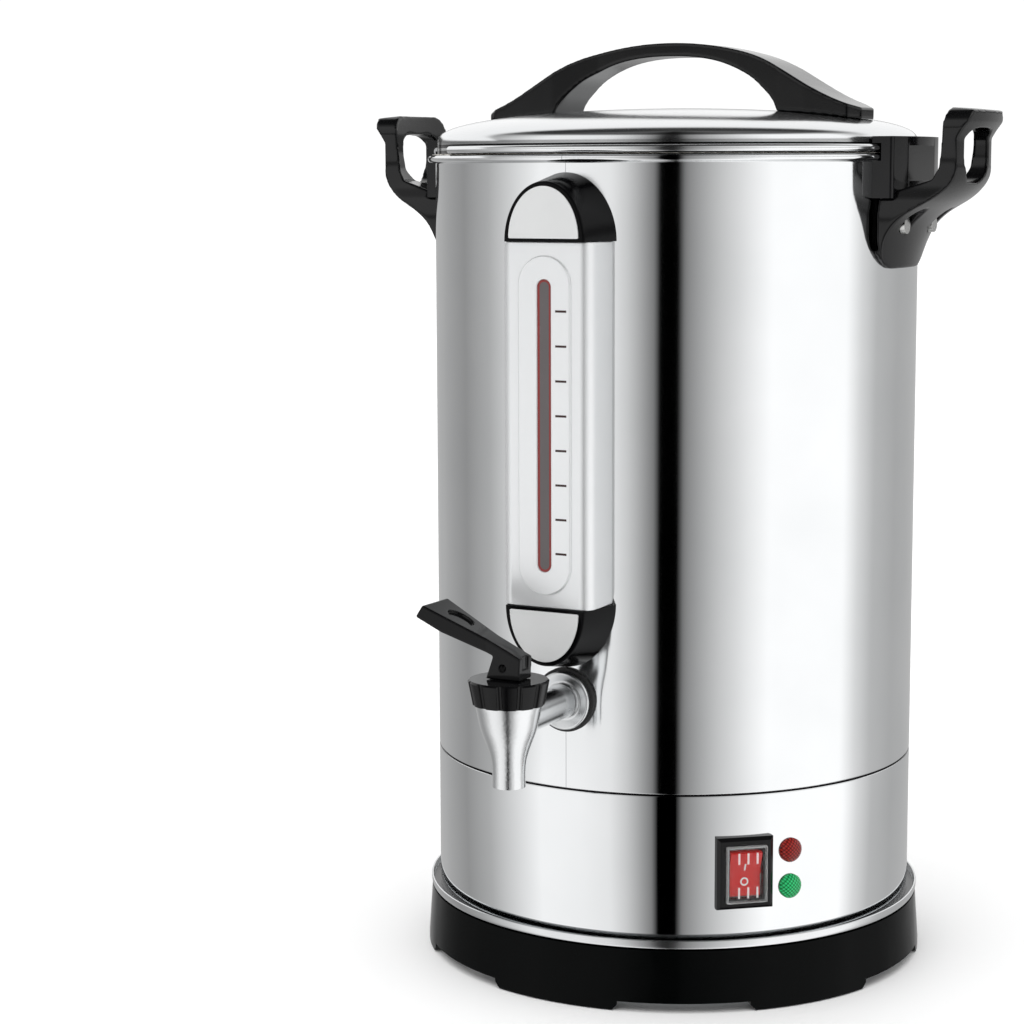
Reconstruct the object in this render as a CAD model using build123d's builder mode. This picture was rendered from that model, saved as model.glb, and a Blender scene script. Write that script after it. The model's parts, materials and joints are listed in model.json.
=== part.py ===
from build123d import *
from math import asin, atan2, cos, degrees, radians, sin, sqrt, tan
import os

os.makedirs("parts", exist_ok=True)

# An electric percolator urn, in millimetres. +Z is up, the floor is z = 0, the tank's axis is
# the Z axis and the tap faces -Y. Angles round the urn are counted from the tap towards +X.

# ------------------------------------------------------------------ vessel and base sizes
body_radius = 113.0  # outside of the tank wall and of the skirt below it
sheet = 0.8  # stainless sheet
seam_height = 97.5  # joint between skirt and tank
seam_gap = 0.4
rim_height = 377.7  # flat top of the tank's rolled rim
bead_reach = 3.5  # how far both rolled beads stand out from the wall
bead_height = 3.4
bead_round = 1.6
floor_rise = 6.3  # inside of the tank floor above the seam
floor_round = 4.0
well_radius = 17.0  # pocket in the tank floor that takes the percolator's foot
well_depth = 9.0
spigot_height = 5.0  # skirt's inner ring that reaches up into the tank wall
spigot_clearance = 0.1
stud_radius = 2.5  # welded studs that hold the heater
stud_length = 17.0
stud_inset = 25.0  # studs, from the tank wall
stud_count = 3

base_bottom_reach = 5.7  # how far the base ring stands out from the wall
base_top_reach = 4.0
base_height = 28.2
base_wall = 3.0
foot_lift = 4.5  # clear height between two feet
foot_count = 6
foot_angle = 31.0  # angle that one foot spans
foot_first = -2.5  # angle of the first foot's middle
foot_width = 9.0
foot_slant = 2.5  # bevel at a foot's ends
pad_height = 1.6
pad_inset = 2.0
pad_proud = 0.5  # how far a rubber pad stands out below its foot
ledge_width = 11.0  # inner ledges of the base ring
ledge_height = 3.0
plate_sheet = 1.0
plate_screw_radius = 2.0
plate_screw_head = 4.0
plate_screw_count = 3
boss_radius = 5.0
vent_radius = 2.5
vent_count = 12
vent_circle = 70.0

trim_reach = 4.3  # how far the flared ring under the skirt stands out
trim_lip = 4.6  # height of its upturned lip
trim_width = 9.0

# ------------------------------------------------------------------ heater sizes
plate_inset = 35.0  # heater plate's edge, from the tank wall
plate_thick = 3.0
main_circle = 60.0  # bend radius of the main heating tube
warm_circle = 36.0  # bend radius of the keep-warm tube
tube_radius = 3.5
tube_open_angle = 50.0  # gap between a heating tube's two ends
main_open_at = 180.0  # where each tube is open, counted from +X
warm_open_at = 60.0
terminal_radius = 1.6
terminal_length = 12.0
clamp_thick = 2.0
clamp_width = 14.0
clamp_hub = 24.0
nut_height = 4.0
stud_clearance = 0.2
disc_radius = 9.0  # thermostat and cut-off discs
disc_height = 9.0
disc_inset = 16.0
thermostat_angle = 200.0
cutoff_angle = 235.0
blade_width = 6.3
blade_thick = 0.8
blade_length = 8.0
blade_spread = 5.0

# ------------------------------------------------------------------ switch, lamps and inlet
switch_angle = 41.0
switch_height = 62.5
bezel_width = 26.0
bezel_height = 32.5
bezel_proud = 3.5
bezel_bevel = 1.5
switch_depth = 20.0
pocket_width = 15.4
pocket_height = 22.4
pocket_depth = 15.0
rocker_gap = 0.5  # side clearance of the rocker in its pocket
rocker_tilt = 10.0  # half of the rocker's swing
rocker_half = 10.2
rocker_tip = 3.5  # height of both tips above the pivot
rocker_middle = 1.3
rocker_keel = 4.0
rocker_axis_depth = 0.5
rocker_pin_radius = 1.2
pin_running_gap = 0.05
pin_bite = 2.0
cover_width = 18.4
cover_height = 25.4
cover_proud = 3.2
cover_wall = 0.8
cover_rib_width = 0.9
cover_rib_length = 5.0
cover_rib_proud = 0.5
cover_rib_pitch = 4.2

lamp_angle = 52.4
lamp_heights = {"lamp_red": 70.5, "lamp_green": 54.0}
lamp_radius = 5.5
lamp_dome = 3.0
lamp_collar = 0.8
lamp_neck_radius = 4.3
lamp_holder_length = 16.0
lamp_nut_radius = 7.0
lamp_nut_height = 3.0
hole_clearance = 0.3

inlet_angle = 180.0
inlet_height = 58.0
inlet_width = 50.0
inlet_tall = 24.0
inlet_proud = 2.8
inlet_depth = 23.0
socket_width = 24.2
socket_tall = 16.2
socket_depth = 20.0
socket_wall = 1.6
socket_corner = 3.5
prong_size = (2.0, 4.0)
prong_spread = 7.0
prong_drop = 2.0
prong_recess = 6.0
prong_tail = 8.0
inlet_screw_spread = 20.0
inlet_screw_radius = 1.6
inlet_screw_head = 3.2
inlet_screw_length = 9.0

wire_radius = 1.1

# ------------------------------------------------------------------ tap sizes
tap_rise = 34.5  # axis of the horizontal pipe above the tank's floor
tap_reach = 53.0  # from the tank wall to the valve's axis
pipe_radius = 7.6
pipe_bore = 5.2
pipe_inside = 14.0  # threaded end inside the tank
pipe_hole_gap = 0.2
flange_radius = 13.0
flange_thick = 2.6
flange_dish = 1.2
flange_hub = 9.4
gasket_radius = 14.3
gasket_thick = 1.6
tap_nut_radius = 12.5
tap_nut_height = 5.0
inner_washer_thick = 1.2
valve_rise = 8.2  # shoulder under the bonnet above the pipe's axis
valve_top_radius = 14.2
valve_waist_drop = 15.9
valve_waist_radius = 7.7
valve_belly_drop = 4.6
valve_belly_radius = 11.5
spout_drop = 27.8
spout_radius = 7.1
spout_bore = 5.3
seat_drop = 5.3
chamber_radius = 9.0
neck_radius = 12.6
neck_height = 7.5
bonnet_height = 10.8
bonnet_top_radius = 17.4
bonnet_foot_radius = 15.4
bonnet_edge = 0.8
flute_count = 12
flute_radius = 1.5
stem_radius = 3.0
stem_gap = 0.1
seat_cup_radius = 7.6
seat_cup_height = 6.5
seat_cup_round = 1.5
spring_wire = 0.5
spring_coil_radius = 5.2
spring_turns = 6
lever_pin_rise = 24.2
lever_pin_radius = 1.5
lever_foot_half = 7.8
lever_foot_gap = 0.3
lever_heel = 8.4
lever_heel_rise = 4.7  # the lever's heights are counted from its pin
lever_tip = -36.0
lever_tip_rise = 25.2
lever_underside = {"tip": (-39.1, 20.0), "bend": (-28.0, 13.9), "neck": (-4.6, 4.9)}
lever_foot_width = 11.0
lever_tip_width = 23.0
stem_eye_width = 5.2
stem_slot_gap = 0.3
heel_recess = 1.0  # dark recess in the lever's heel face
heel_recess_size = (6.0, 5.0)
dimple_depth = 1.2
dimple_size = (13.0, 9.0)
lever_edge_round = 0.8

# ------------------------------------------------------------------ sight gauge sizes
gauge_reach = 19.5  # distance of its flat front from the tank wall
gauge_rise = 44.2  # lower end of the silver cover above the tap's axis
gauge_drop = 37.2  # upper end of the silver cover below the rim
gauge_side = 21.7
gauge_corner = 5.5
gauge_sheet = 1.0
slot_inset = 15.8  # ends of the slot and of the raised oval, from the cover's ends
slot_width = 6.6
oval_inset = 5.9
oval_width = 25.0
oval_proud = 1.0
cap_width = 38.4
cap_length = 25.6
cap_taper = 10.5
cap_proud = 1.0
cap_wall = 2.0
cap_edge_round = 1.0
badge_width = 33.4
badge_length = 22.2
badge_thick = 0.6
badge_offset = 1.5
glass_radius = 5.0
glass_wall = 1.0
glass_reach = 9.0
fitting_radius = 7.4
fitting_height = 16.0
fitting_inset = 11.0  # how far the fittings' middles lie beyond the cover's ends
glass_socket = 7.0
nipple_radius = 4.0
nipple_inside = 9.0
gauge_nut_radius = 8.0
gauge_nut_height = 4.0
seal_height = 3.0

# ------------------------------------------------------------------ bracket and side handle sizes
bracket_half = 30.5
bracket_reach = 9.0
bracket_drop = 42.7  # from the rim
bracket_rise = 7.3
tongue_half = 24.0
tongue_thick = 2.2
lip_gap = 0.4  # play between the lid's bead and the bracket
lip_bite = 0.1
panel_half = 21.0
panel_depth = 1.2
panel_margin = 4.0
bracket_round = 2.0
handle_drop = 51.2  # from the rim
handle_rise = 19.3
handle_crown = 0.4  # the grip's top edge is a little crowned
grip_reach = 34.2  # outside of the grip, from the tank wall
grip_thick = 6.9
grip_lip_reach = 5.4
grip_lip_drop = 5.5
arm_top_rise = 35.0  # the arm's heights are counted from the handle's lower end
arm_root_rise = 31.5
arm_rise = {0.053: 0.0, 0.135: 11.0, 0.269: 19.5, 0.468: 25.5, 0.702: 30.3, 0.871: 35.0, 0.974: 40.0, 1.0: 45.5}
handle_low_half = 30.5
handle_low_round = 16.0
handle_side_rounds = (25.0, 12.0, 16.0, 25.0)  # up the grip's side, where it narrows
handle_top_round = 9.0
handle_neck_half = 24.0
handle_top_half = 25.0
hole_half = 16.3
hole_rise = 38.0
hole_drop = 9.0
hole_low_round = 12.0
hole_top_round = 6.0
handle_screw_rise = 19.5
handle_screw_offset = 18.0
handle_screw_radius = 2.0
handle_screw_head = 3.8
handle_screw_head_height = 2.6
screw_seat_reach = 5.6
recess_width = 9.0
recess_length = 15.0
wall_boss_radius = 4.0
wall_boss_reach = 3.5
thread_gap = 0.4

# ------------------------------------------------------------------ lid sizes
lid_rise = 21.3  # crown above the rim
lid_band_inset = 1.0
lid_shoulder_rise = 5.8
dome_shares = {0.446: 0.894, 0.821: 0.639, 0.946: 0.394}  # the dome's height along its radius
gasket_flange = 0.5  # seal between the two beads
gasket_flange_reach = 1.4
gasket_lip = 0.9
gasket_drop = 4.5
gasket_rise = 3.0
gasket_play = 0.3
notch_half_angle = 17.5
lid_handle_half = 95.0
lid_handle_rise = 30.0  # above the crown
lid_handle_thick = 6.2
lid_handle_foot = 60.0
lid_handle_tip_drop = 1.0
lid_handle_foot_margin = (2.0, 10.0)  # the foot is widest round the arch's end
lid_handle_grip_end = 35.0
grip_over_shares = {0.316: 0.906, 0.526: 0.719, 0.642: 0.532, 0.758: 0.323, 0.874: 0.145}
grip_under_shares = {0.25: 0.966, 0.467: 0.849, 0.617: 0.693, 0.717: 0.559, 0.817: 0.357, 0.9: 0.147}
lid_handle_tip_width = 26.0
lid_handle_foot_width = 31.0
lid_handle_grip_width = 21.0
lid_handle_plan_round = 5.0
lid_screw_circle = 76.0
lid_screw_spread = 7.0
lid_screw_radius = 2.0
lid_screw_head = 3.8
lid_screw_head_height = 2.2
lid_screw_seat_drop = 5.4
lid_screw_rise = 3.5

# ------------------------------------------------------------------ percolator sizes
pump_stem_radius = 3.2
pump_stem_bore = 2.4
pump_stem_drop = 27.7  # stem's top below the rim
foot_cup_radius = 15.0
foot_cup_height = 15.0
foot_cup_neck = 5.0
foot_cup_neck_height = 8.0
foot_cup_rim = 3.0
foot_hole_radius = 1.6
foot_hole_count = 6
basket_inset = 26.0  # basket, from the tank wall
basket_height = 47.0
basket_drop = 85.7  # basket's floor below the rim
basket_sheet = 0.6
basket_rib = 1.3
basket_round = 3.0
basket_rib_height = 3.0
basket_hole_radius = 1.6
basket_hole_rings = {24.0: 10, 42.0: 18, 60.0: 26}
sleeve_radius = 4.6
sleeve_gap = 0.1
sleeve_length = 46.0
stop_radius = 6.0
stop_height = 2.0
spreader_radius = 18.5
spreader_rise = 4.5
spreader_hole_radius = 1.5
spreader_hole_count = 8
stem_spring_length = 9.0
stem_spring_wire = 0.5
stem_spring_turns = 3

# ------------------------------------------------------------------ sizes that follow
tank_inside = body_radius - sheet
floor_height = seam_height + floor_rise
floor_under = floor_height - sheet
well_inside = floor_height - well_depth
tank_bottom = seam_height + seam_gap
bead_radius = body_radius + bead_reach
skirt_bottom = base_height + sheet
stud_circle = body_radius - stud_inset
base_bottom_radius = body_radius + base_bottom_reach
base_top_radius = body_radius + base_top_reach
trim_radius = body_radius + trim_reach
plate_radius = body_radius - plate_inset
disc_circle = body_radius - disc_inset
lid_bottom = rim_height + gasket_flange
lid_bead_top = lid_bottom + bead_height
tap_height = floor_height + tap_rise
tap_axis_y = -(body_radius + tap_reach)
valve_top = tap_height + valve_rise
valve_waist_height = tap_height - valve_waist_drop
valve_belly_height = tap_height - valve_belly_drop
spout_bottom = tap_height - spout_drop
seat_height = tap_height - seat_drop
bonnet_top = valve_top + bonnet_height
lever_pin_height = tap_height + lever_pin_rise
lever_heel_top = lever_pin_height + lever_heel_rise
lever_tip_top = lever_pin_height + lever_tip_rise
lever_tip_low, lever_bend_low, lever_neck_low = [
    (along, lever_pin_height + rise) for along, rise in lever_underside.values()
]
gauge_cover_low = tap_height + gauge_rise
gauge_cover_high = rim_height - gauge_drop
gauge_middle = (gauge_cover_low + gauge_cover_high) / 2
gauge_cover_half = (gauge_cover_high - gauge_cover_low) / 2
gauge_face = body_radius + gauge_reach
glass_distance = body_radius + glass_reach
slot_half = gauge_cover_half - slot_inset
oval_half = gauge_cover_half - oval_inset
bracket_radius = body_radius + bracket_reach
bracket_bottom = rim_height - bracket_drop
bracket_top = rim_height + bracket_rise
lip_inner_radius = body_radius - lip_bite
handle_bottom = rim_height - handle_drop
handle_top = rim_height + handle_rise
handle_edge = handle_top + handle_crown
grip_outer_radius = body_radius + grip_reach
grip_inner_radius = grip_outer_radius - grip_thick
grip_lip_radius = grip_outer_radius + grip_lip_reach
grip_lip_height = handle_top - grip_lip_drop
arm_top = (bracket_radius, handle_bottom + arm_top_rise)
arm_root_top = handle_bottom + arm_root_rise
hole_bottom = handle_bottom + hole_rise
hole_top = handle_top - hole_drop
handle_screw_height = handle_bottom + handle_screw_rise
handle_screw_seat = body_radius + screw_seat_reach
wall_boss_end = body_radius + wall_boss_reach
thread_end = body_radius + thread_gap
lid_crown = rim_height + lid_rise
lid_band_radius = body_radius - lid_band_inset
lid_shoulder = rim_height + lid_shoulder_rise
gasket_flange_radius = body_radius + gasket_flange_reach
lid_handle_top = lid_crown + lid_handle_rise
lid_handle_under = lid_handle_top - lid_handle_thick
lid_handle_tip_height = lid_crown - lid_handle_tip_drop
lid_screw_seat = lid_crown - lid_screw_seat_drop
lid_screw_top = lid_crown + lid_screw_rise
pump_stem_top = rim_height - pump_stem_drop
basket_radius = body_radius - basket_inset
basket_floor_height = rim_height - basket_drop
basket_top = basket_floor_height + basket_height
sleeve_top = basket_floor_height + sleeve_length
gauge_bottom_fitting = gauge_middle - gauge_cover_half - fitting_inset
gauge_top_fitting = gauge_middle + gauge_cover_half + fitting_inset
boss_root = sqrt(body_radius**2 - (handle_screw_offset + wall_boss_radius) ** 2)
boss_length = wall_boss_end - boss_root


def wall_plane(angle, height, radius=body_radius):
    """Plane that touches the wall at an angle from the front: x to the right, y up, z outwards."""
    turn = radians(angle)
    outward = (sin(turn), -cos(turn), 0)
    rightward = (cos(turn), sin(turn), 0)
    middle = (radius * sin(turn), -radius * cos(turn), height)
    return Plane(origin=middle, x_dir=rightward, z_dir=outward)


def section(points, plane=Plane.XZ):
    """Closed straight-sided section; on Plane.XZ its points are radius and height."""
    with BuildSketch(plane) as face:
        with BuildLine():
            Polyline(*points, close=True)
        make_face()
    return face.sketch


def finish(piece, name):
    """Label a finished piece and write it."""
    piece.part.label = name
    export_step(piece.part, "parts/" + name + ".step")


def circles(piece, radius, low, high):
    """Circular edges of one radius between two heights."""
    round_edges = piece.edges().filter_by(GeomType.CIRCLE)
    same_radius = round_edges.filter_by(lambda edge: abs(edge.radius - radius) < 0.01)
    return same_radius.filter_by(lambda edge: low < edge.center().Z < high)


# ------------------------------------------------------------------ tank
# Drawn wall, floor and well in one piece, with a rolled bead round the rim, threaded bosses
# for the side handles welded outside and three studs for the heater welded under the floor.
tank_profile = [
    (0, well_inside - sheet),
    (well_radius, well_inside - sheet),
    (well_radius, floor_under),
    (tank_inside, floor_under),
    (tank_inside, tank_bottom),
    (body_radius, tank_bottom),
    (body_radius, rim_height - bead_height),
    (bead_radius, rim_height - bead_height),
    (bead_radius, rim_height),
    (tank_inside, rim_height),
    (tank_inside, floor_height),
    (well_radius - sheet, floor_height),
    (well_radius - sheet, well_inside),
    (0, well_inside),
]
with BuildPart() as tank:
    revolve(section(tank_profile), axis=Axis.Z)
    fillet(circles(tank, bead_radius, rim_height - bead_height - 1, rim_height + 1), bead_round)
    fillet(circles(tank, tank_inside, floor_height - 0.1, floor_height + 0.1), floor_round)
    fillet(circles(tank, body_radius, tank_bottom - 0.1, tank_bottom + 0.1), sheet / 2)
    with BuildSketch(Plane.XY.offset(floor_under)):
        with PolarLocations(stud_circle, stud_count):
            Circle(stud_radius)
    extrude(amount=-stud_length)
    for side in (90, -90):
        with BuildSketch(wall_plane(side, handle_screw_height, wall_boss_end)):
            with Locations((-handle_screw_offset, 0), (handle_screw_offset, 0)):
                Circle(wall_boss_radius)
        extrude(amount=-boss_length)
    with Locations((0, 0, handle_screw_height)):
        Cylinder(tank_inside, 4 * wall_boss_radius, mode=Mode.SUBTRACT)
    for side in (90, -90):
        with BuildSketch(wall_plane(side, handle_screw_height, wall_boss_end)):
            with Locations((-handle_screw_offset, 0), (handle_screw_offset, 0)):
                Circle(handle_screw_radius)
        extrude(amount=thread_end - wall_boss_end, mode=Mode.SUBTRACT)
    with BuildSketch(wall_plane(0, tap_height)):
        Circle(pipe_radius + pipe_hole_gap)
    extrude(amount=pipe_inside, both=True, mode=Mode.SUBTRACT)
    for height in (gauge_bottom_fitting, gauge_top_fitting):
        with BuildSketch(wall_plane(0, height)):
            Circle(nipple_radius + pipe_hole_gap)
        extrude(amount=nipple_inside, both=True, mode=Mode.SUBTRACT)
finish(tank, "tank")

# ------------------------------------------------------------------ base skirt
# Rolled steel band under the tank; its inner ring centres the tank wall. It carries the
# switch, the two lamps and the mains inlet.
spigot_outside = tank_inside - spigot_clearance
spigot_inside = spigot_outside - sheet
skirt_profile = [
    (tank_inside, skirt_bottom),
    (body_radius, skirt_bottom),
    (body_radius, seam_height),
    (spigot_outside, seam_height),
    (spigot_outside, seam_height + spigot_height),
    (spigot_inside, seam_height + spigot_height),
    (spigot_inside, seam_height - spigot_height),
    (tank_inside, seam_height - spigot_height - 2 * sheet),
]
switch_plane = wall_plane(switch_angle, switch_height)
inlet_plane = wall_plane(inlet_angle, inlet_height)
lamp_planes = {name: wall_plane(lamp_angle, height) for name, height in lamp_heights.items()}
switch_body_width = pocket_width + 2 * pin_bite + 2 * sheet
switch_body_height = pocket_height + 2 * pin_bite
socket_outer_width = socket_width + 2 * socket_wall
socket_outer_tall = socket_tall + 2 * socket_wall
with BuildPart() as base_skirt:
    revolve(section(skirt_profile), axis=Axis.Z)
    with BuildSketch(switch_plane):
        Rectangle(switch_body_width + hole_clearance, switch_body_height + hole_clearance)
    extrude(amount=switch_depth, both=True, mode=Mode.SUBTRACT)
    with BuildSketch(inlet_plane):
        Rectangle(socket_outer_width + hole_clearance, socket_outer_tall + hole_clearance)
        with Locations((-inlet_screw_spread, 0), (inlet_screw_spread, 0)):
            Circle(inlet_screw_radius + hole_clearance)
    extrude(amount=inlet_depth, both=True, mode=Mode.SUBTRACT)
    for plane in lamp_planes.values():
        with BuildSketch(plane):
            Circle(lamp_neck_radius + hole_clearance)
        extrude(amount=lamp_holder_length, both=True, mode=Mode.SUBTRACT)
finish(base_skirt, "base_skirt")

# ------------------------------------------------------------------ trim ring
# Pressed steel ring under the skirt; its upturned lip leaves a narrow dark gap to the wall.
trim_bottom = base_height
trim_inside = body_radius - trim_width
trim_profile = [
    (trim_inside, trim_bottom),
    (trim_radius - 2 * sheet, trim_bottom),
    (trim_radius, trim_bottom + 2 * sheet),
    (trim_radius, trim_bottom + trim_lip),
    (trim_radius - sheet, trim_bottom + trim_lip),
    (trim_radius - sheet, trim_bottom + 2 * sheet),
    (trim_radius - 2 * sheet, trim_bottom + sheet),
    (trim_inside, trim_bottom + sheet),
]
with BuildPart() as skirt_trim_ring:
    revolve(section(trim_profile), axis=Axis.Z)
finish(skirt_trim_ring, "skirt_trim_ring")

# ------------------------------------------------------------------ base ring
# Moulded black ring on six feet. Its upper ledge carries the trim ring and the skirt, its
# lower ledge takes the bottom plate, and three bosses take that plate's screws.
ledge_inside = base_top_radius - base_wall - ledge_width
plate_top = foot_lift + plate_sheet + 1
ledge_top = plate_top + ledge_height
ledge_outside = base_bottom_radius - base_wall
base_profile = [
    (ledge_outside, foot_lift),
    (base_bottom_radius, foot_lift),
    (base_top_radius, base_height),
    (ledge_inside, base_height),
    (ledge_inside, base_height - ledge_height),
    (base_top_radius - base_wall, base_height - ledge_height),
    (ledge_outside, ledge_top),
    (ledge_inside, ledge_top),
    (ledge_inside, plate_top),
    (ledge_outside, plate_top),
]
foot_outside = base_bottom_radius
foot_inside = foot_outside - foot_width
foot_profile = [
    (foot_inside, pad_proud),
    (foot_outside, pad_proud),
    (foot_outside, foot_lift),
    (foot_inside, foot_lift),
]
pad_profile = [
    (foot_inside + pad_inset, 0),
    (foot_outside - pad_inset, 0),
    (foot_outside - pad_inset, pad_height),
    (foot_inside + pad_inset, pad_height),
]
foot_starts = [foot_first + count * 360 / foot_count - foot_angle / 2 - 90 for count in range(foot_count)]
pad_angle = foot_angle - 2 * degrees((foot_slant + pad_inset) / foot_outside)
pad_turn = (foot_angle - pad_angle) / 2
screw_circle = ledge_inside + boss_radius
boss_top = base_height - ledge_height
boss_bore_top = boss_top - base_wall


def arc_block(profile, start, angle):
    """Part of a ring with the given section, from a start angle about +Z counted from +X."""
    with BuildPart(mode=Mode.PRIVATE) as block:
        revolve(section(profile).rotate(Axis.Z, start), axis=Axis.Z, revolution_arc=angle)
    return block.part


with BuildPart() as base_foot_ring:
    revolve(section(base_profile), axis=Axis.Z)
    for start in foot_starts:
        add(arc_block(foot_profile, start, foot_angle))
    foot_ends = base_foot_ring.edges().filter_by_position(Axis.Z, pad_proud - 0.1, pad_proud + 0.1)
    chamfer(foot_ends.filter_by(GeomType.LINE), foot_slant)
    for start in foot_starts:
        add(arc_block(pad_profile, start + pad_turn, pad_angle), mode=Mode.SUBTRACT)
    with BuildSketch(Plane.XY.offset(plate_top)):
        with PolarLocations(screw_circle, plate_screw_count):
            Circle(boss_radius)
    extrude(amount=boss_top - plate_top)
    with BuildSketch(Plane.XY.offset(plate_top)):
        with PolarLocations(screw_circle, plate_screw_count):
            Circle(plate_screw_radius)
    extrude(amount=boss_bore_top - plate_top, mode=Mode.SUBTRACT)
finish(base_foot_ring, "base_foot_ring")

# Rubber pads pressed into pockets under the feet; the urn stands on them.
with BuildPart() as foot_pads:
    for start in foot_starts:
        add(arc_block(pad_profile, start + pad_turn, pad_angle))
finish(foot_pads, "foot_pads")

# Steel plate that closes the base from below, with a ring of vent holes.
plate_bottom = plate_top - plate_sheet
with BuildPart() as bottom_plate:
    with BuildSketch(Plane.XY.offset(plate_bottom)):
        Circle(foot_inside - 1)
        with PolarLocations(screw_circle, plate_screw_count):
            Circle(plate_screw_radius, mode=Mode.SUBTRACT)
        with PolarLocations(vent_circle, vent_count):
            Circle(vent_radius, mode=Mode.SUBTRACT)
    extrude(amount=plate_sheet)
finish(bottom_plate, "bottom_plate")

with BuildPart() as bottom_screws:
    with BuildSketch(Plane.XY.offset(plate_bottom)):
        with PolarLocations(screw_circle, plate_screw_count):
            Circle(plate_screw_radius)
    extrude(amount=boss_bore_top - plate_bottom)
    with BuildSketch(Plane.XY.offset(plate_bottom)):
        with PolarLocations(screw_circle, plate_screw_count):
            Circle(plate_screw_head)
    extrude(amount=-2 * plate_sheet)
finish(bottom_screws, "bottom_screws")

# ------------------------------------------------------------------ heater
# An aluminium plate pressed to the underside of the tank floor by a three-armed clamp, with
# the main tube and the keep-warm tube bent into open rings between plate and clamp.
plate_under = floor_under - plate_thick
tube_height = plate_under - tube_radius
clamp_top = tube_height - tube_radius
clamp_bottom = clamp_top - clamp_thick
terminal_top = clamp_bottom - terminal_length
with BuildPart() as heating_plate:
    with BuildSketch(Plane.XY.offset(floor_under)):
        Circle(plate_radius)
        Circle(well_radius + hole_clearance, mode=Mode.SUBTRACT)
    extrude(amount=-plate_thick)
finish(heating_plate, "heating_plate")


def arc_tube(circle_radius, height, start, span):
    """Round bar bent about the Z axis."""
    with BuildSketch(Plane.XZ) as bar:
        with Locations((circle_radius, height)):
            Circle(tube_radius)
    with BuildPart(mode=Mode.PRIVATE) as ring:
        revolve(bar.sketch.rotate(Axis.Z, start), axis=Axis.Z, revolution_arc=span)
    return ring.part


def heating_tube(circle_radius, open_at):
    """Open ring of heating tube with its two ends bent straight down; open at an angle from +X."""
    start = open_at + tube_open_angle / 2
    span = 360 - tube_open_angle
    tube_ring = arc_tube(circle_radius, tube_height, start, span)
    with BuildPart(mode=Mode.PRIVATE) as tube:
        add(tube_ring)
        for angle in (start, start + span):
            end = (circle_radius * cos(radians(angle)), circle_radius * sin(radians(angle)))
            with BuildSketch(Plane.XY.offset(tube_height)):
                with Locations(end):
                    Circle(tube_radius)
            extrude(amount=terminal_top - tube_height)
            with BuildSketch(Plane.XY.offset(terminal_top)):
                with Locations(end):
                    Circle(terminal_radius)
            extrude(amount=-terminal_length)
    return tube.part


with BuildPart() as heating_element:
    add(heating_tube(main_circle, main_open_at))
finish(heating_element, "heating_element")

with BuildPart() as warm_element:
    add(heating_tube(warm_circle, warm_open_at))
finish(warm_element, "warm_element")

with BuildPart() as element_clamp:
    with BuildSketch(Plane.XY.offset(clamp_top)):
        Circle(clamp_hub)
        with PolarLocations(stud_circle / 2, stud_count):
            Rectangle(stud_circle, clamp_width)
        with PolarLocations(stud_circle, stud_count):
            Circle(clamp_width / 2)
        Circle(well_radius + hole_clearance, mode=Mode.SUBTRACT)
        with PolarLocations(stud_circle, stud_count):
            Circle(stud_radius + stud_clearance, mode=Mode.SUBTRACT)
    extrude(amount=-clamp_thick)
finish(element_clamp, "element_clamp")

with BuildPart() as clamp_nuts:
    with BuildSketch(Plane.XY.offset(clamp_bottom)):
        with PolarLocations(stud_circle, stud_count):
            RegularPolygon(2 * stud_radius, 6)
            Circle(stud_radius, mode=Mode.SUBTRACT)
    extrude(amount=-nut_height)
finish(clamp_nuts, "clamp_nuts")


def disc_control(angle):
    """Disc thermostat held against the tank floor, with two blade terminals."""
    spot = (disc_circle * sin(radians(angle)), -disc_circle * cos(radians(angle)))
    with BuildPart(mode=Mode.PRIVATE) as control:
        with BuildSketch(Plane.XY.offset(floor_under)):
            with Locations(spot):
                Circle(disc_radius)
        extrude(amount=-disc_height)
        with BuildSketch(Plane.XY.offset(floor_under - disc_height)):
            with Locations(Location((spot[0], spot[1], 0), (0, 0, angle))):
                with Locations((-blade_spread, 0), (blade_spread, 0)):
                    Rectangle(blade_thick, blade_width)
        extrude(amount=-blade_length)
    return control.part


with BuildPart() as thermostat:
    add(disc_control(thermostat_angle))
finish(thermostat, "thermostat")

with BuildPart() as thermal_cutoff:
    add(disc_control(cutoff_angle))
finish(thermal_cutoff, "thermal_cutoff")

# ------------------------------------------------------------------ rocker switch
# A black bezel snapped into the skirt, a rocker on two trunnions in its pocket, and a clear
# ribbed cover over the rocker. At rest the rocker's lower half is pressed in.
switch_outward = Axis(switch_plane.origin, switch_plane.z_dir)
rocker_pivot = switch_plane.offset(-rocker_axis_depth).origin
rocker_side = Plane(origin=rocker_pivot, x_dir=(0, 0, 1), z_dir=switch_plane.x_dir)
pin_reach = pocket_width / 2 + pin_bite
with BuildPart() as switch_bezel:
    with BuildSketch(switch_plane.offset(-bezel_proud)):
        Rectangle(bezel_width, bezel_height)
    extrude(amount=2 * bezel_proud)
    chamfer(switch_bezel.faces().sort_by(switch_outward)[-1].edges(), bezel_bevel)
    with Locations((0, 0, switch_height)):
        Cylinder(body_radius, 2 * bezel_height, mode=Mode.SUBTRACT)
    with BuildSketch(switch_plane):
        Rectangle(switch_body_width, switch_body_height)
    extrude(amount=-switch_depth)
    with BuildSketch(switch_plane.offset(bezel_proud)):
        Rectangle(pocket_width, pocket_height)
    extrude(amount=-(bezel_proud + pocket_depth), mode=Mode.SUBTRACT)
    with BuildSketch(rocker_side):
        Circle(rocker_pin_radius + pin_running_gap)
    extrude(amount=pin_reach, both=True, mode=Mode.SUBTRACT)
finish(switch_bezel, "switch_bezel")

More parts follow.
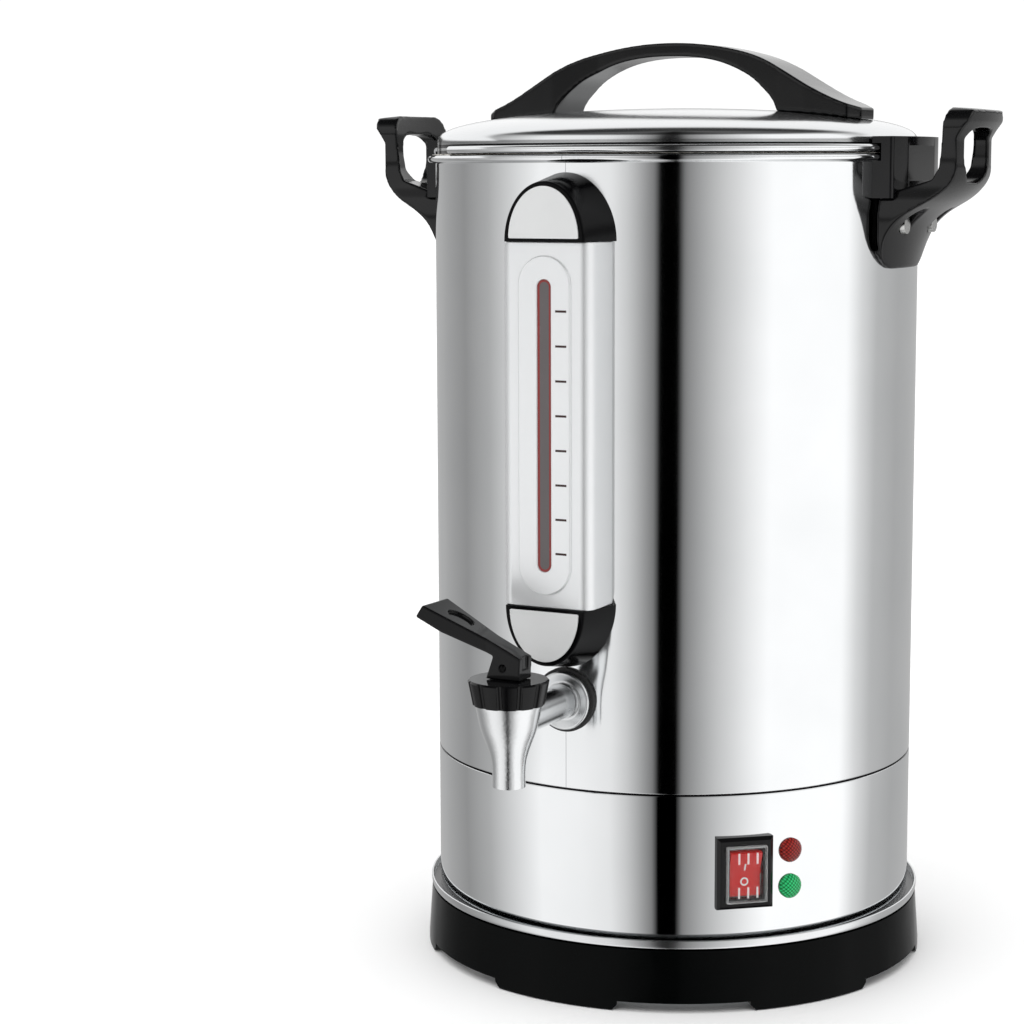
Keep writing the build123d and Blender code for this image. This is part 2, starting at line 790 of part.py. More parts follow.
rocker_profile = [
    (-rocker_half, rocker_tip),
    (0, rocker_middle),
    (rocker_half, rocker_tip),
    (rocker_half, rocker_tip - 3),
    (rocker_half - 3, -rocker_keel),
    (3 - rocker_half, -rocker_keel),
    (-rocker_half, rocker_tip - 3),
]
rocker_axis = Axis(rocker_pivot, switch_plane.x_dir)
rocker_face = section(rocker_profile, rocker_side).rotate(rocker_axis, rocker_tilt)
with BuildPart() as rocker:
    extrude(rocker_face, amount=pocket_width / 2 - rocker_gap, both=True)
    with BuildSketch(rocker_side):
        Circle(rocker_pin_radius)
    extrude(amount=pin_reach - rocker_gap, both=True)
finish(rocker, "rocker")

cover_base = switch_plane.offset(bezel_proud)
with BuildPart() as switch_cover:
    with BuildSketch(cover_base):
        Rectangle(cover_width, cover_height)
    extrude(amount=cover_proud)
    fillet(switch_cover.faces().sort_by(switch_outward)[-1].edges(), cover_wall)
    with BuildSketch(cover_base):
        Rectangle(cover_width - 2 * cover_wall, cover_height - 2 * cover_wall)
    extrude(amount=cover_proud - cover_wall, mode=Mode.SUBTRACT)
    with BuildSketch(cover_base.offset(cover_proud)):
        with GridLocations(cover_rib_pitch, cover_height - 2 * cover_rib_length, 3, 2):
            Rectangle(cover_rib_width, cover_rib_length)
    extrude(amount=cover_rib_proud)
finish(switch_cover, "switch_cover")

blade_offset = switch_body_height / 2 - blade_spread
with BuildPart() as switch_blades:
    with BuildSketch(switch_plane.offset(-switch_depth)):
        with Locations((0, blade_offset), (0, -blade_offset)):
            Rectangle(blade_width, blade_thick)
    extrude(amount=-blade_length)
finish(switch_blades, "switch_blades")

# ------------------------------------------------------------------ indicator lamps
# Domed lenses on the skirt; each lens's neck goes through the sheet into a holder with a nut.
dome_radius = (lamp_radius**2 + lamp_dome**2) / (2 * lamp_dome)
nut_seat = -(body_radius - sqrt(tank_inside**2 - lamp_nut_radius**2))
for name, plane in lamp_planes.items():
    with BuildPart() as lamp:
        with BuildSketch(plane.offset(-lamp_collar)):
            Circle(lamp_radius)
        extrude(amount=2 * lamp_collar + lamp_dome)
        with Locations(plane.offset(lamp_collar + lamp_dome - dome_radius)):
            Sphere(dome_radius, mode=Mode.INTERSECT)
        with Locations((0, 0, lamp_heights[name])):
            Cylinder(body_radius, 4 * lamp_radius, mode=Mode.SUBTRACT)
        with BuildSketch(plane.offset(lamp_collar)):
            Circle(lamp_neck_radius)
        extrude(amount=nut_seat - lamp_collar)
    finish(lamp, name)

with BuildPart() as lamp_holders:
    for plane in lamp_planes.values():
        with BuildSketch(plane.offset(nut_seat)):
            Circle(lamp_neck_radius)
        extrude(amount=-lamp_holder_length)
        with BuildSketch(plane.offset(nut_seat)):
            RegularPolygon(lamp_nut_radius, 6)
        extrude(amount=-lamp_nut_height)
finish(lamp_holders, "lamp_holders")

# ------------------------------------------------------------------ mains inlet
# Black appliance socket screwed to the back of the skirt, its three flat prongs set deep.
inlet_outward = Axis(inlet_plane.origin, inlet_plane.z_dir)
prong_spots = [(-prong_spread, -prong_drop), (prong_spread, -prong_drop), (0, prong_drop)]
prong_width, prong_tall = prong_size
prong_tip = inlet_proud - prong_recess
inlet_screw_spots = [(-inlet_screw_spread, 0), (inlet_screw_spread, 0)]
head_depth = inlet_screw_head - inlet_screw_radius


def inlet_screw_set():
    """Two countersunk screws in the inlet's flange."""
    with BuildPart(mode=Mode.PRIVATE) as screws:
        with BuildSketch(inlet_plane.offset(inlet_proud)):
            with Locations(*inlet_screw_spots):
                Circle(inlet_screw_head)
        extrude(amount=-head_depth, taper=45)
        with BuildSketch(inlet_plane.offset(inlet_proud)):
            with Locations(*inlet_screw_spots):
                Circle(inlet_screw_radius)
        extrude(amount=-inlet_screw_length)
    return screws.part


with BuildPart() as inlet_housing:
    with BuildSketch(inlet_plane.offset(-2 * inlet_proud)):
        RectangleRounded(inlet_width, inlet_tall, 2 * inlet_proud)
    extrude(amount=3 * inlet_proud)
    fillet(inlet_housing.faces().sort_by(inlet_outward)[-1].edges(), inlet_proud / 3)
    with Locations((0, 0, inlet_height)):
        Cylinder(body_radius, 2 * inlet_tall, mode=Mode.SUBTRACT)
    with BuildSketch(inlet_plane):
        Rectangle(socket_outer_width, socket_outer_tall)
    extrude(amount=-inlet_depth)
    with BuildSketch(inlet_plane.offset(inlet_proud)) as socket_face:
        Rectangle(socket_width, socket_tall)
        chamfer(socket_face.vertices().group_by(Axis.Z)[0], socket_corner)
    extrude(amount=-socket_depth, mode=Mode.SUBTRACT)
    with BuildSketch(inlet_plane):
        with Locations(*prong_spots):
            Rectangle(prong_width, prong_tall)
    extrude(amount=-inlet_depth, mode=Mode.SUBTRACT)
    add(inlet_screw_set(), mode=Mode.SUBTRACT)
finish(inlet_housing, "inlet_housing")

with BuildPart() as inlet_pins:
    with BuildSketch(inlet_plane.offset(prong_tip)):
        with Locations(*prong_spots):
            Rectangle(prong_width, prong_tall)
    extrude(amount=-(inlet_depth + prong_tip + prong_tail))
finish(inlet_pins, "inlet_pins")

with BuildPart() as inlet_screws:
    add(inlet_screw_set())
finish(inlet_screws, "inlet_screws")

# ------------------------------------------------------------------ tap
# A turned steel valve: pipe through the tank wall with a dished flange and rubber washers,
# a vertical body that narrows to the spout, and a fluted bonnet. The stem hangs from the
# lever's pin through the bonnet; the lever's foot bears on the bonnet and lifts the stem,
# and with it the silicone cup off its seat. The stem also swivels in the bonnet.
valve_side = Plane(origin=(0, tap_axis_y, 0), x_dir=(1, 0, 0), z_dir=(0, -1, 0))
valve_axis = Axis((0, tap_axis_y, 0), (0, 0, 1))
pipe_side = Plane(origin=(0, 0, tap_height), x_dir=(0, -1, 0), z_dir=(1, 0, 0))
pipe_axis = Axis((0, 0, tap_height), (0, -1, 0))
pipe_start = wall_plane(0, tap_height).offset(-pipe_inside)
neck_top = valve_top + neck_height
with BuildPart() as tap_body:
    with BuildSketch(valve_side):
        with BuildLine():
            Line((0, spout_bottom), (spout_radius, spout_bottom))
            Spline(
                (spout_radius, spout_bottom),
                (valve_waist_radius, valve_waist_height),
                (valve_belly_radius, valve_belly_height),
                (valve_top_radius, valve_top - 1),
                tangents=((0, 1), (0.2, 1)),
            )
            Polyline(
                (valve_top_radius, valve_top - 1),
                (valve_top_radius, valve_top),
                (neck_radius, valve_top),
                (neck_radius, neck_top),
                (0, neck_top),
                (0, spout_bottom),
            )
        make_face()
    revolve(axis=valve_axis)
    with BuildSketch(pipe_start):
        Circle(pipe_radius)
    extrude(amount=pipe_inside + tap_reach)
    with BuildSketch(Plane.XY.offset(neck_top)):
        with Locations((0, tap_axis_y)):
            Circle(chamber_radius)
    extrude(amount=seat_height - neck_top, mode=Mode.SUBTRACT)
    with BuildSketch(Plane.XY.offset(seat_height)):
        with Locations((0, tap_axis_y)):
            Circle(spout_bore)
    extrude(amount=spout_bottom - seat_height, mode=Mode.SUBTRACT)
    with BuildSketch(pipe_start):
        Circle(pipe_bore)
    extrude(amount=pipe_inside + tap_reach, mode=Mode.SUBTRACT)
finish(tap_body, "tap_body")

flange_back = body_radius + gasket_thick
flange_front = flange_back + flange_thick
flange_profile = [
    (flange_back, pipe_radius),
    (flange_back, flange_radius),
    (flange_front, flange_radius),
    (flange_front, flange_radius - flange_dish),
    (flange_front - flange_dish, flange_hub),
    (flange_front + flange_dish, flange_hub - flange_dish),
    (flange_front + flange_dish, pipe_radius),
]
with BuildPart() as tap_flange:
    revolve(section(flange_profile, pipe_side), axis=pipe_axis)
finish(tap_flange, "tap_flange")

inner_washer_radius = tap_nut_radius + inner_washer_thick
washer_seat = sqrt(tank_inside**2 - inner_washer_radius**2)
tap_nut_face = washer_seat - inner_washer_thick
with BuildPart() as tap_outer_gasket:
    with BuildSketch(wall_plane(0, tap_height, flange_back)):
        Circle(gasket_radius)
        Circle(pipe_radius, mode=Mode.SUBTRACT)
    extrude(amount=-4 * gasket_thick)
    with Locations((0, 0, tap_height)):
        Cylinder(body_radius, 4 * gasket_radius, mode=Mode.SUBTRACT)

with BuildPart() as tap_inner_gasket:
    with BuildSketch(wall_plane(0, tap_height, tap_nut_face)):
        Circle(inner_washer_radius)
        Circle(pipe_radius, mode=Mode.SUBTRACT)
    extrude(amount=4 * inner_washer_thick)
    with Locations((0, 0, tap_height)):
        Cylinder(tank_inside, 4 * gasket_radius, mode=Mode.INTERSECT)

with BuildPart() as tap_gaskets:
    add(tap_outer_gasket.part)
    add(tap_inner_gasket.part)
finish(tap_gaskets, "tap_gaskets")

with BuildPart() as tap_nut:
    with BuildSketch(wall_plane(0, tap_height, tap_nut_face)):
        RegularPolygon(tap_nut_radius, 6)
        Circle(pipe_radius, mode=Mode.SUBTRACT)
    extrude(amount=-tap_nut_height)
finish(tap_nut, "tap_nut")

bonnet_side_height = bonnet_height - bonnet_edge
bonnet_profile = [
    (neck_radius, valve_top),
    (bonnet_foot_radius, valve_top),
    (bonnet_top_radius, valve_top + bonnet_side_height),
    (bonnet_top_radius - bonnet_edge, bonnet_top),
    (stem_radius + stem_gap, bonnet_top),
    (stem_radius + stem_gap, neck_top),
    (neck_radius, neck_top),
]
flute_slope = (bonnet_top_radius - bonnet_foot_radius) / bonnet_side_height
flute_tilt = degrees(asin(flute_slope))
flute_middle = (bonnet_top_radius + bonnet_foot_radius) / 2 + flute_radius / 2
with BuildPart() as tap_bonnet:
    revolve(section(bonnet_profile, valve_side), axis=valve_axis)
    for count in range(flute_count):
        with Locations(Location((0, tap_axis_y, 0), (0, 0, (count + 0.5) * 360 / flute_count))):
            with Locations(Location((flute_middle, 0, valve_top + bonnet_height / 2), (0, flute_tilt, 0))):
                Cylinder(flute_radius, 2 * bonnet_height, mode=Mode.SUBTRACT)
finish(tap_bonnet, "tap_bonnet")

cup_top = seat_height + seat_cup_height
cup_socket = cup_top - seat_cup_height / 2
with BuildPart() as tap_seat_cup:
    with BuildSketch(Plane.XY.offset(seat_height)):
        with Locations((0, tap_axis_y)):
            Circle(seat_cup_radius)
    extrude(amount=seat_cup_height)
    fillet(tap_seat_cup.edges().group_by(Axis.Z)[-1], seat_cup_round)
    with BuildSketch(Plane.XY.offset(cup_socket)):
        with Locations((0, tap_axis_y)):
            Circle(stem_radius + stem_gap / 2)
    extrude(amount=seat_cup_height, mode=Mode.SUBTRACT)
finish(tap_seat_cup, "tap_seat_cup")

pin_plane = Plane(origin=(0, tap_axis_y, lever_pin_height), x_dir=(1, 0, 0), z_dir=(0, -1, 0))
with BuildPart() as tap_stem:
    with BuildSketch(Plane.XY.offset(cup_socket)):
        with Locations((0, tap_axis_y)):
            Circle(stem_radius)
    extrude(amount=lever_pin_height - cup_socket)
    with BuildSketch(pin_plane):
        Circle(stem_radius)
    extrude(amount=stem_eye_width / 2, both=True)
    with BuildSketch(pin_plane):
        Circle(lever_pin_radius)
    extrude(amount=stem_eye_width, both=True, mode=Mode.SUBTRACT)
finish(tap_stem, "tap_stem")

with BuildPart() as lever_pin:
    with BuildSketch(pin_plane):
        Circle(lever_pin_radius)
    extrude(amount=lever_foot_width / 2 - rocker_gap, both=True)
finish(lever_pin, "lever_pin")

spring_foot = cup_top + spring_wire
spring_rise = neck_top - cup_top - 2 * spring_wire


def coil_spring(coil_radius, wire, turns, base, rise, middle):
    """Coil spring standing on a height, with its own middle."""
    with BuildPart(mode=Mode.PRIVATE) as coil:
        with BuildLine():
            turn_line = Helix(pitch=rise / turns, height=rise, radius=coil_radius, center=(*middle, base))
        with BuildSketch(Plane(origin=turn_line @ 0, z_dir=turn_line % 0)):
            Circle(wire)
        sweep(path=turn_line)
    return coil.part


with BuildPart() as tap_spring:
    add(coil_spring(spring_coil_radius, spring_wire, spring_turns, spring_foot, spring_rise, (0, tap_axis_y)))
finish(tap_spring, "tap_spring")

# Lever: one moulding, narrow at its heel over the bonnet and wide at the thumb end, with a
# forked foot round the stem's head and an oval thumb dimple.
foot_bottom = bonnet_top + lever_foot_gap
lever_profile = [
    (lever_foot_half, foot_bottom),
    (lever_heel, lever_heel_top),
    (lever_tip, lever_tip_top),
    lever_tip_low,
    lever_bend_low,
    lever_neck_low,
    (-lever_foot_half, foot_bottom + 2 * lever_foot_gap),
    (-lever_foot_half, foot_bottom),
]
lever_length = lever_heel - lever_tip_low[0]
lever_plan = [
    (lever_heel, lever_foot_width / 2),
    (-lever_foot_half, lever_foot_width / 2),
    (lever_tip_low[0], lever_tip_width / 2),
    (lever_tip_low[0], -lever_tip_width / 2),
    (-lever_foot_half, -lever_foot_width / 2),
    (lever_heel, -lever_foot_width / 2),
]
slot_half_width = stem_radius + stem_slot_gap
slot_half_length = slot_half_width + stem_slot_gap
stem_sweep = (lever_pin_height - foot_bottom) / 2
slot_side = [
    (slot_half_length, foot_bottom),
    (slot_half_length, lever_pin_height + slot_half_length),
    (-slot_half_length, lever_pin_height + slot_half_length),
    (-slot_half_length, lever_pin_height),
    (-slot_half_length - stem_sweep, foot_bottom),
]
lever_slope = degrees(atan2(lever_tip_top - lever_heel_top, lever_heel - lever_tip))
dimple_x = lever_tip + dimple_size[0]
dimple_z = lever_tip_top - dimple_size[0] * tan(radians(lever_slope))
heel_face = Plane(origin=(lever_heel, tap_axis_y, (lever_heel_top + lever_pin_height) / 2), z_dir=(1, 0, 0))
with BuildPart() as tap_lever:
    extrude(section(lever_profile, valve_side), amount=lever_tip_width / 2, both=True)
    plan_plane = Plane(origin=(0, tap_axis_y, foot_bottom))
    extrude(section(lever_plan, plan_plane), amount=lever_length, mode=Mode.INTERSECT)
    top_edges = tap_lever.edges().filter_by_position(Axis.Z, lever_heel_top, lever_tip_top + 1)
    fillet(top_edges, lever_edge_round)
    extrude(section(slot_side, valve_side), amount=slot_half_width, both=True, mode=Mode.SUBTRACT)
    with BuildSketch(pin_plane):
        Circle(lever_pin_radius + pin_running_gap)
    extrude(amount=lever_foot_width, both=True, mode=Mode.SUBTRACT)
    with BuildSketch(Plane(origin=(dimple_x, tap_axis_y, dimple_z)).rotated((0, lever_slope, 0))):
        Ellipse(dimple_size[0] / 2, dimple_size[1] / 2)
    extrude(amount=dimple_depth, both=True, mode=Mode.SUBTRACT)
    with BuildSketch(heel_face):
        Rectangle(*heel_recess_size)
    extrude(amount=-heel_recess, both=True, mode=Mode.SUBTRACT)
finish(tap_lever, "tap_lever")

# ------------------------------------------------------------------ wiring
# Insulated leads inside the skirt. Each runs from one terminal to the next and meets the
# terminals end to end.
inward_tip = body_radius - inlet_depth - prong_tail
blade_tip = body_radius - switch_depth - blade_length
holder_tip = body_radius + nut_seat - lamp_holder_length
disc_tip = floor_under - disc_height - blade_length
tube_tip = terminal_top - terminal_length
up = (0, 0, 1)
down = (0, 0, -1)
back = (0, 1, 0)
forward = (0, -1, 0)


def around(angle, radius, height):
    """Point at an angle from the front, a distance from the axis and a height."""
    return (radius * sin(radians(angle)), -radius * cos(radians(angle)), height)


def outward(angle):
    """Direction away from the axis at an angle from the front."""
    return (sin(radians(angle)), -cos(radians(angle)), 0)


def inward(angle):
    """Direction towards the axis at an angle from the front."""
    return (-sin(radians(angle)), cos(radians(angle)), 0)


def disc_blade(angle, side):
    """Lower end of one of a disc control's two blades."""
    tangent = (cos(radians(angle)), sin(radians(angle)))
    middle = around(angle, disc_circle, disc_tip)
    return (middle[0] + side * tangent[0], middle[1] + side * tangent[1], disc_tip)


def tube_end(circle_radius, open_at, side):
    """Lower end of one of a heating tube's two terminals."""
    angle = radians(open_at + side * tube_open_angle / 2)
    return (circle_radius * cos(angle), circle_radius * sin(angle), tube_tip)


def lead(points, start_way, end_way):
    """One insulated lead through the given points."""
    with BuildPart(mode=Mode.PRIVATE) as wire:
        with BuildLine():
            run = Spline(*points, tangents=(start_way, end_way))
        with BuildSketch(Plane(origin=run @ 0, z_dir=run % 0)):
            Circle(wire_radius)
        sweep(path=run)
    return wire.part


earth_stud = (stud_circle, 0, floor_under - stud_length)
live_prong = (prong_spread, inward_tip, inlet_height - prong_drop)
neutral_prong = (-prong_spread, inward_tip, inlet_height - prong_drop)
earth_prong = (0, inward_tip, inlet_height + prong_drop)
lower_blade = around(switch_angle, blade_tip, switch_height - blade_offset)
upper_blade = around(switch_angle, blade_tip, switch_height + blade_offset)
main_back = tube_end(main_circle, main_open_at, -1)
main_front = tube_end(main_circle, main_open_at, 1)
warm_right = tube_end(warm_circle, warm_open_at, -1)
warm_back = tube_end(warm_circle, warm_open_at, 1)
red_holder = around(lamp_angle, holder_tip, lamp_heights["lamp_red"])
green_holder = around(lamp_angle, holder_tip, lamp_heights["lamp_green"])
feed_run = [live_prong, around(150, 70, 50), around(110, 72, 47), around(70, 70, 50), lower_blade]
switched_run = [
    upper_blade,
    around(15, 80, 77),
    around(-30, 86, 77),
    around(-75, 90, 76),
    around(-108, 95, 76),
    disc_blade(cutoff_angle, blade_spread),
]
joining_run = [disc_blade(cutoff_angle, -blade_spread), (-59, 77, 76), disc_blade(thermostat_angle, blade_spread)]
heating_run = [disc_blade(thermostat_angle, -blade_spread), (-32, 80, 74), (-45, 50, 60), main_back]
return_run = [main_front, (-50, -10, 54), (-30, 35, 48), (-12, 65, 52), neutral_prong]
earth_run = [earth_prong, (6, 66, 64), (40, 58, 70), (75, 25, 75), earth_stud]
red_run = [warm_right, (34, 10, 58), (52, -25, 62), red_holder]
green_run = [warm_back, (8, 22, 54), (45, -20, 43), (66, -50, 44), green_holder]
with BuildPart() as wiring:
    add(lead(feed_run, forward, outward(switch_angle)))
    add(lead(switched_run, inward(switch_angle), up))
    add(lead(joining_run, down, up))
    add(lead(heating_run, down, up))
    add(lead(return_run, down, back))
    add(lead(earth_run, forward, up))
    add(lead(red_run, down, outward(lamp_angle)))
    add(lead(green_run, down, outward(lamp_angle)))
finish(wiring, "wiring")

# ------------------------------------------------------------------ sight gauge
# A glass tube between two fittings whose nipples pass through the tank wall, behind a folded
# silver cover with a long slot; black caps close the cover's ends and carry grey badges.
gauge_front = wall_plane(0, gauge_middle, gauge_face)
gauge_low = gauge_middle - gauge_cover_half
gauge_high = gauge_middle + gauge_cover_half
wall_touch = body_radius - gauge_corner
with BuildPart() as gauge_housing:
    with BuildSketch(Plane.XY.offset(gauge_low)):
        with Locations((0, -(gauge_face + wall_touch) / 2)):
            Rectangle(2 * gauge_side, gauge_face - wall_touch)
    extrude(amount=2 * gauge_cover_half)
    front_edges = gauge_housing.edges().filter_by(Axis.Z).group_by(Axis.Y)[0]
    fillet(front_edges, gauge_corner)
    with BuildSketch(gauge_front):
        SlotOverall(2 * oval_half, oval_width, rotation=90)
    extrude(amount=oval_proud)
    with BuildPart(mode=Mode.SUBTRACT) as inside:
        with BuildSketch(Plane.XY.offset(gauge_low)):
            with Locations((0, -(gauge_face - gauge_sheet + wall_touch) / 2)):
                Rectangle(2 * (gauge_side - gauge_sheet), gauge_face - gauge_sheet - wall_touch)
        extrude(amount=2 * gauge_cover_half)
        fillet(inside.edges().filter_by(Axis.Z).group_by(Axis.Y)[0], gauge_corner - gauge_sheet)
    with BuildSketch(gauge_front.offset(oval_proud)):
        SlotOverall(2 * slot_half, slot_width, rotation=90)
    extrude(amount=-(oval_proud + 2 * gauge_sheet), mode=Mode.SUBTRACT)
    with Locations((0, 0, gauge_middle)):
        Cylinder(body_radius, 4 * gauge_cover_half, mode=Mode.SUBTRACT)
finish(gauge_housing, "gauge_housing")

cap_face = gauge_face + cap_proud
cap_depth = cap_face - wall_touch
cap_growth = cap_depth * tan(radians(cap_taper))


def cap_block(inset):
    """Tapered oval block round a cover end, shrunk all over by an inset."""
    half = cap_width / 2 - inset
    with BuildPart(mode=Mode.PRIVATE) as block:
        with BuildSketch(wall_plane(0, 0, cap_face - inset)):
            Ellipse(half, cap_length - inset)
        with BuildSketch(wall_plane(0, 0, wall_touch)):
            Ellipse(half + cap_growth, cap_length - inset + cap_growth)
        loft()
    return block.part


with BuildPart() as gauge_cap:
    add(cap_block(0))
    add(cap_block(cap_wall), mode=Mode.SUBTRACT)
    with Locations((0, 0, -2 * cap_length)):
        Box(4 * cap_width, 4 * body_radius, 4 * cap_length, mode=Mode.SUBTRACT)
    Cylinder(body_radius, 4 * cap_length, mode=Mode.SUBTRACT)
    cap_rim = gauge_cap.faces().sort_by(Axis.Y)[0].outer_wire().edges().filter_by(GeomType.LINE, reverse=True)
    fillet(cap_rim, cap_edge_round)

with BuildPart() as gauge_badge:
    with BuildSketch(wall_plane(0, badge_offset, cap_face)):
        Ellipse(badge_width / 2, badge_length)
        with Locations((0, -badge_length)):
            Rectangle(2 * badge_width, 2 * badge_length, mode=Mode.SUBTRACT)
    extrude(amount=badge_thick)
    fillet(gauge_badge.edges().filter_by(Axis.Y), badge_thick)

top_place = Location((0, 0, gauge_high))
bottom_place = Location((0, 0, gauge_low), (0, 180, 0))
with BuildPart() as gauge_top_cap:
    add(gauge_cap.part.moved(top_place))
finish(gauge_top_cap, "gauge_top_cap")

with BuildPart() as gauge_bottom_cap:
    add(gauge_cap.part.moved(bottom_place))
finish(gauge_bottom_cap, "gauge_bottom_cap")

with BuildPart() as gauge_badge_top:
    add(gauge_badge.part.moved(top_place))
finish(gauge_badge_top, "gauge_badge_top")

with BuildPart() as gauge_badge_bottom:
    add(gauge_badge.part.moved(bottom_place))
finish(gauge_badge_bottom, "gauge_badge_bottom")

socket_mouth = gauge_cover_half + fitting_inset - fitting_height / 2
glass_half = socket_mouth + glass_socket
glass_place = (0, -glass_distance)
with BuildPart() as gauge_tube:
    with BuildSketch(Plane.XY.offset(gauge_middle)):
        with Locations(glass_place):
            Circle(glass_radius)
            Circle(glass_radius - glass_wall, mode=Mode.SUBTRACT)
    extrude(amount=glass_half, both=True)
finish(gauge_tube, "gauge_tube")

seal_outside = (fitting_radius + glass_radius) / 2
nipple_length = glass_distance - tank_inside + nipple_inside
with BuildPart() as gauge_fitting:
    with BuildSketch(Plane.XY.offset(socket_mouth)):
        with Locations(glass_place):
            Circle(fitting_radius)
    extrude(amount=fitting_height)
    with BuildSketch(wall_plane(0, socket_mouth + fitting_height / 2, glass_distance)):
        Circle(seal_outside)
    extrude(amount=-(glass_distance - wall_touch))
    with Locations((0, 0, gauge_cover_half)):
        Cylinder(body_radius, 4 * fitting_height, mode=Mode.SUBTRACT)
    with BuildSketch(wall_plane(0, socket_mouth + fitting_height / 2, glass_distance)):
        Circle(nipple_radius)
    extrude(amount=-nipple_length)
    with BuildSketch(Plane.XY.offset(socket_mouth)):
        with Locations(glass_place):
            Circle(glass_radius)
    extrude(amount=glass_socket, mode=Mode.SUBTRACT)
    with BuildSketch(Plane.XY.offset(socket_mouth)):
        with Locations(glass_place):
            Circle(seal_outside)
    extrude(amount=seal_height, mode=Mode.SUBTRACT)
    with BuildSketch(Plane.XY.offset(socket_mouth)):
        with Locations(glass_place):
            Circle(nipple_radius / 2)
    extrude(amount=fitting_height / 2, mode=Mode.SUBTRACT)
    with BuildSketch(wall_plane(0, socket_mouth + fitting_height / 2, glass_distance)):
        Circle(nipple_radius / 2)
    extrude(amount=-nipple_length, mode=Mode.SUBTRACT)

middle_up = Location((0, 0, gauge_middle))
middle_down = Location((0, 0, gauge_middle), (0, 180, 0))
with BuildPart() as gauge_top_fitting_piece:
    add(gauge_fitting.part.moved(middle_up))
finish(gauge_top_fitting_piece, "gauge_top_fitting")

with BuildPart() as gauge_bottom_fitting_piece:
    add(gauge_fitting.part.moved(middle_down))
finish(gauge_bottom_fitting_piece, "gauge_bottom_fitting")

with BuildPart() as gauge_seals:
    for low in (gauge_middle + socket_mouth, gauge_middle - socket_mouth - seal_height):
        with BuildSketch(Plane.XY.offset(low)):
            with Locations(glass_place):
                Circle(seal_outside)
                Circle(glass_radius, mode=Mode.SUBTRACT)
        extrude(amount=seal_height)
finish(gauge_seals, "gauge_seals")

gauge_nut_face = sqrt(tank_inside**2 - gauge_nut_radius**2)
with BuildPart() as gauge_nuts:
    for height in (gauge_bottom_fitting, gauge_top_fitting):
        with BuildSketch(wall_plane(0, height, gauge_nut_face)):
            RegularPolygon(gauge_nut_radius, 6)
            Circle(nipple_radius, mode=Mode.SUBTRACT)
        extrude(amount=-gauge_nut_height)
finish(gauge_nuts, "gauge_nuts")

# ------------------------------------------------------------------ handle brackets
# Each bracket stands on the wall below the rim and hooks over it; the lid's bead turns in
# under the hook. Its tongue runs down behind the side handle and is pinned by the wall bosses.
relief_radius = bead_radius + lip_gap
bracket_profile = [
    (body_radius, bracket_bottom),
    (body_radius + tongue_thick, bracket_bottom),
    (body_radius + tongue_thick, arm_root_top),
    (bracket_radius, arm_root_top),
    (bracket_radius, bracket_top),
    (lip_inner_radius, bracket_top),
    (lip_inner_radius, lid_bead_top + lip_gap),
    (relief_radius, lid_bead_top + lip_gap),
    (relief_radius, rim_height - bead_height),
    (body_radius, rim_height - bead_height),
]
right_side = wall_plane(90, handle_screw_height, 0)
screw_spots = [(-handle_screw_offset, 0), (handle_screw_offset, 0)]
panel_low = arm_top[1] + panel_margin
panel_height = bracket_top - panel_margin - panel_low
with BuildPart() as bracket_blank:
    revolve(section(bracket_profile).rotate(Axis.Z, -45), axis=Axis.Z, revolution_arc=90)
    with BuildSketch(right_side):
        with Locations((0, bracket_top - handle_screw_height)):
            Rectangle(2 * bracket_half, bracket_top - arm_root_top, align=(Align.CENTER, Align.MAX))
            Rectangle(2 * tongue_half, bracket_top - bracket_bottom, align=(Align.CENTER, Align.MAX))
    extrude(amount=2 * bracket_radius, mode=Mode.INTERSECT)
    upright_edges = bracket_blank.edges().filter_by(Axis.Z)
    fillet(upright_edges.filter_by_position(Axis.X, bracket_radius - 5, bracket_radius), bracket_round)
    with BuildSketch(right_side):
        with Locations(*screw_spots):
            Circle(wall_boss_radius)
    extrude(amount=bracket_radius, mode=Mode.SUBTRACT)
    with BuildSketch(right_side.offset(bracket_radius - panel_depth)):
        with Locations((0, panel_low - handle_screw_height)):
            Rectangle(2 * panel_half, panel_height, align=(Align.CENTER, Align.MIN))
    extrude(amount=bracket_radius, mode=Mode.SUBTRACT)

with BuildPart() as bracket_right:
    add(bracket_blank.part)
finish(bracket_right, "bracket_right")

with BuildPart() as bracket_left:
    add(mirror(bracket_blank.part, about=Plane.YZ))
finish(bracket_left, "bracket_left")

# ------------------------------------------------------------------ side handles
# One moulding each: a curved arm rises from the wall and turns up into a wide grip with a
# finger hole; two screws in deep slots hold it to the wall bosses.
arm_curve = [(body_radius + share * grip_reach, handle_bottom + rise) for share, rise in arm_rise.items()]
grip_profile = [
    arm_curve[-1],
    (grip_outer_radius, grip_lip_height - 7.5),
    (grip_outer_radius + 0.43 * grip_lip_reach, grip_lip_height - 3.7),
    (grip_lip_radius - 0.3, grip_lip_height),
    (grip_lip_radius, handle_top - 0.7),
    (grip_inner_radius + 0.9, handle_edge),
    (grip_inner_radius, hole_top),
    (grip_inner_radius - 0.3, hole_top - 8.0),
    (grip_inner_radius - 1.3, hole_bottom + 6.5),
    (grip_inner_radius - 3.9, hole_bottom + 1.5),
    arm_top,
    (body_radius, arm_root_top),
    (body_radius, handle_bottom),
    arm_curve[0],
]
half_outline = [
    (0, handle_bottom),
    (handle_low_half, handle_bottom),
    (handle_low_half, handle_screw_height + 4.0),
    (handle_low_half - 1.5, handle_screw_height + 11.0),
    (handle_neck_half + 1.5, hole_bottom - 0.5),
    (handle_neck_half, hole_bottom + 9.5),
    (handle_top_half, handle_edge),
    (0, handle_edge),
]
corner_rounds = [handle_low_round, *handle_side_rounds, handle_top_round]
outline = half_outline + [(-side, height) for side, height in reversed(half_outline[1:-1])]
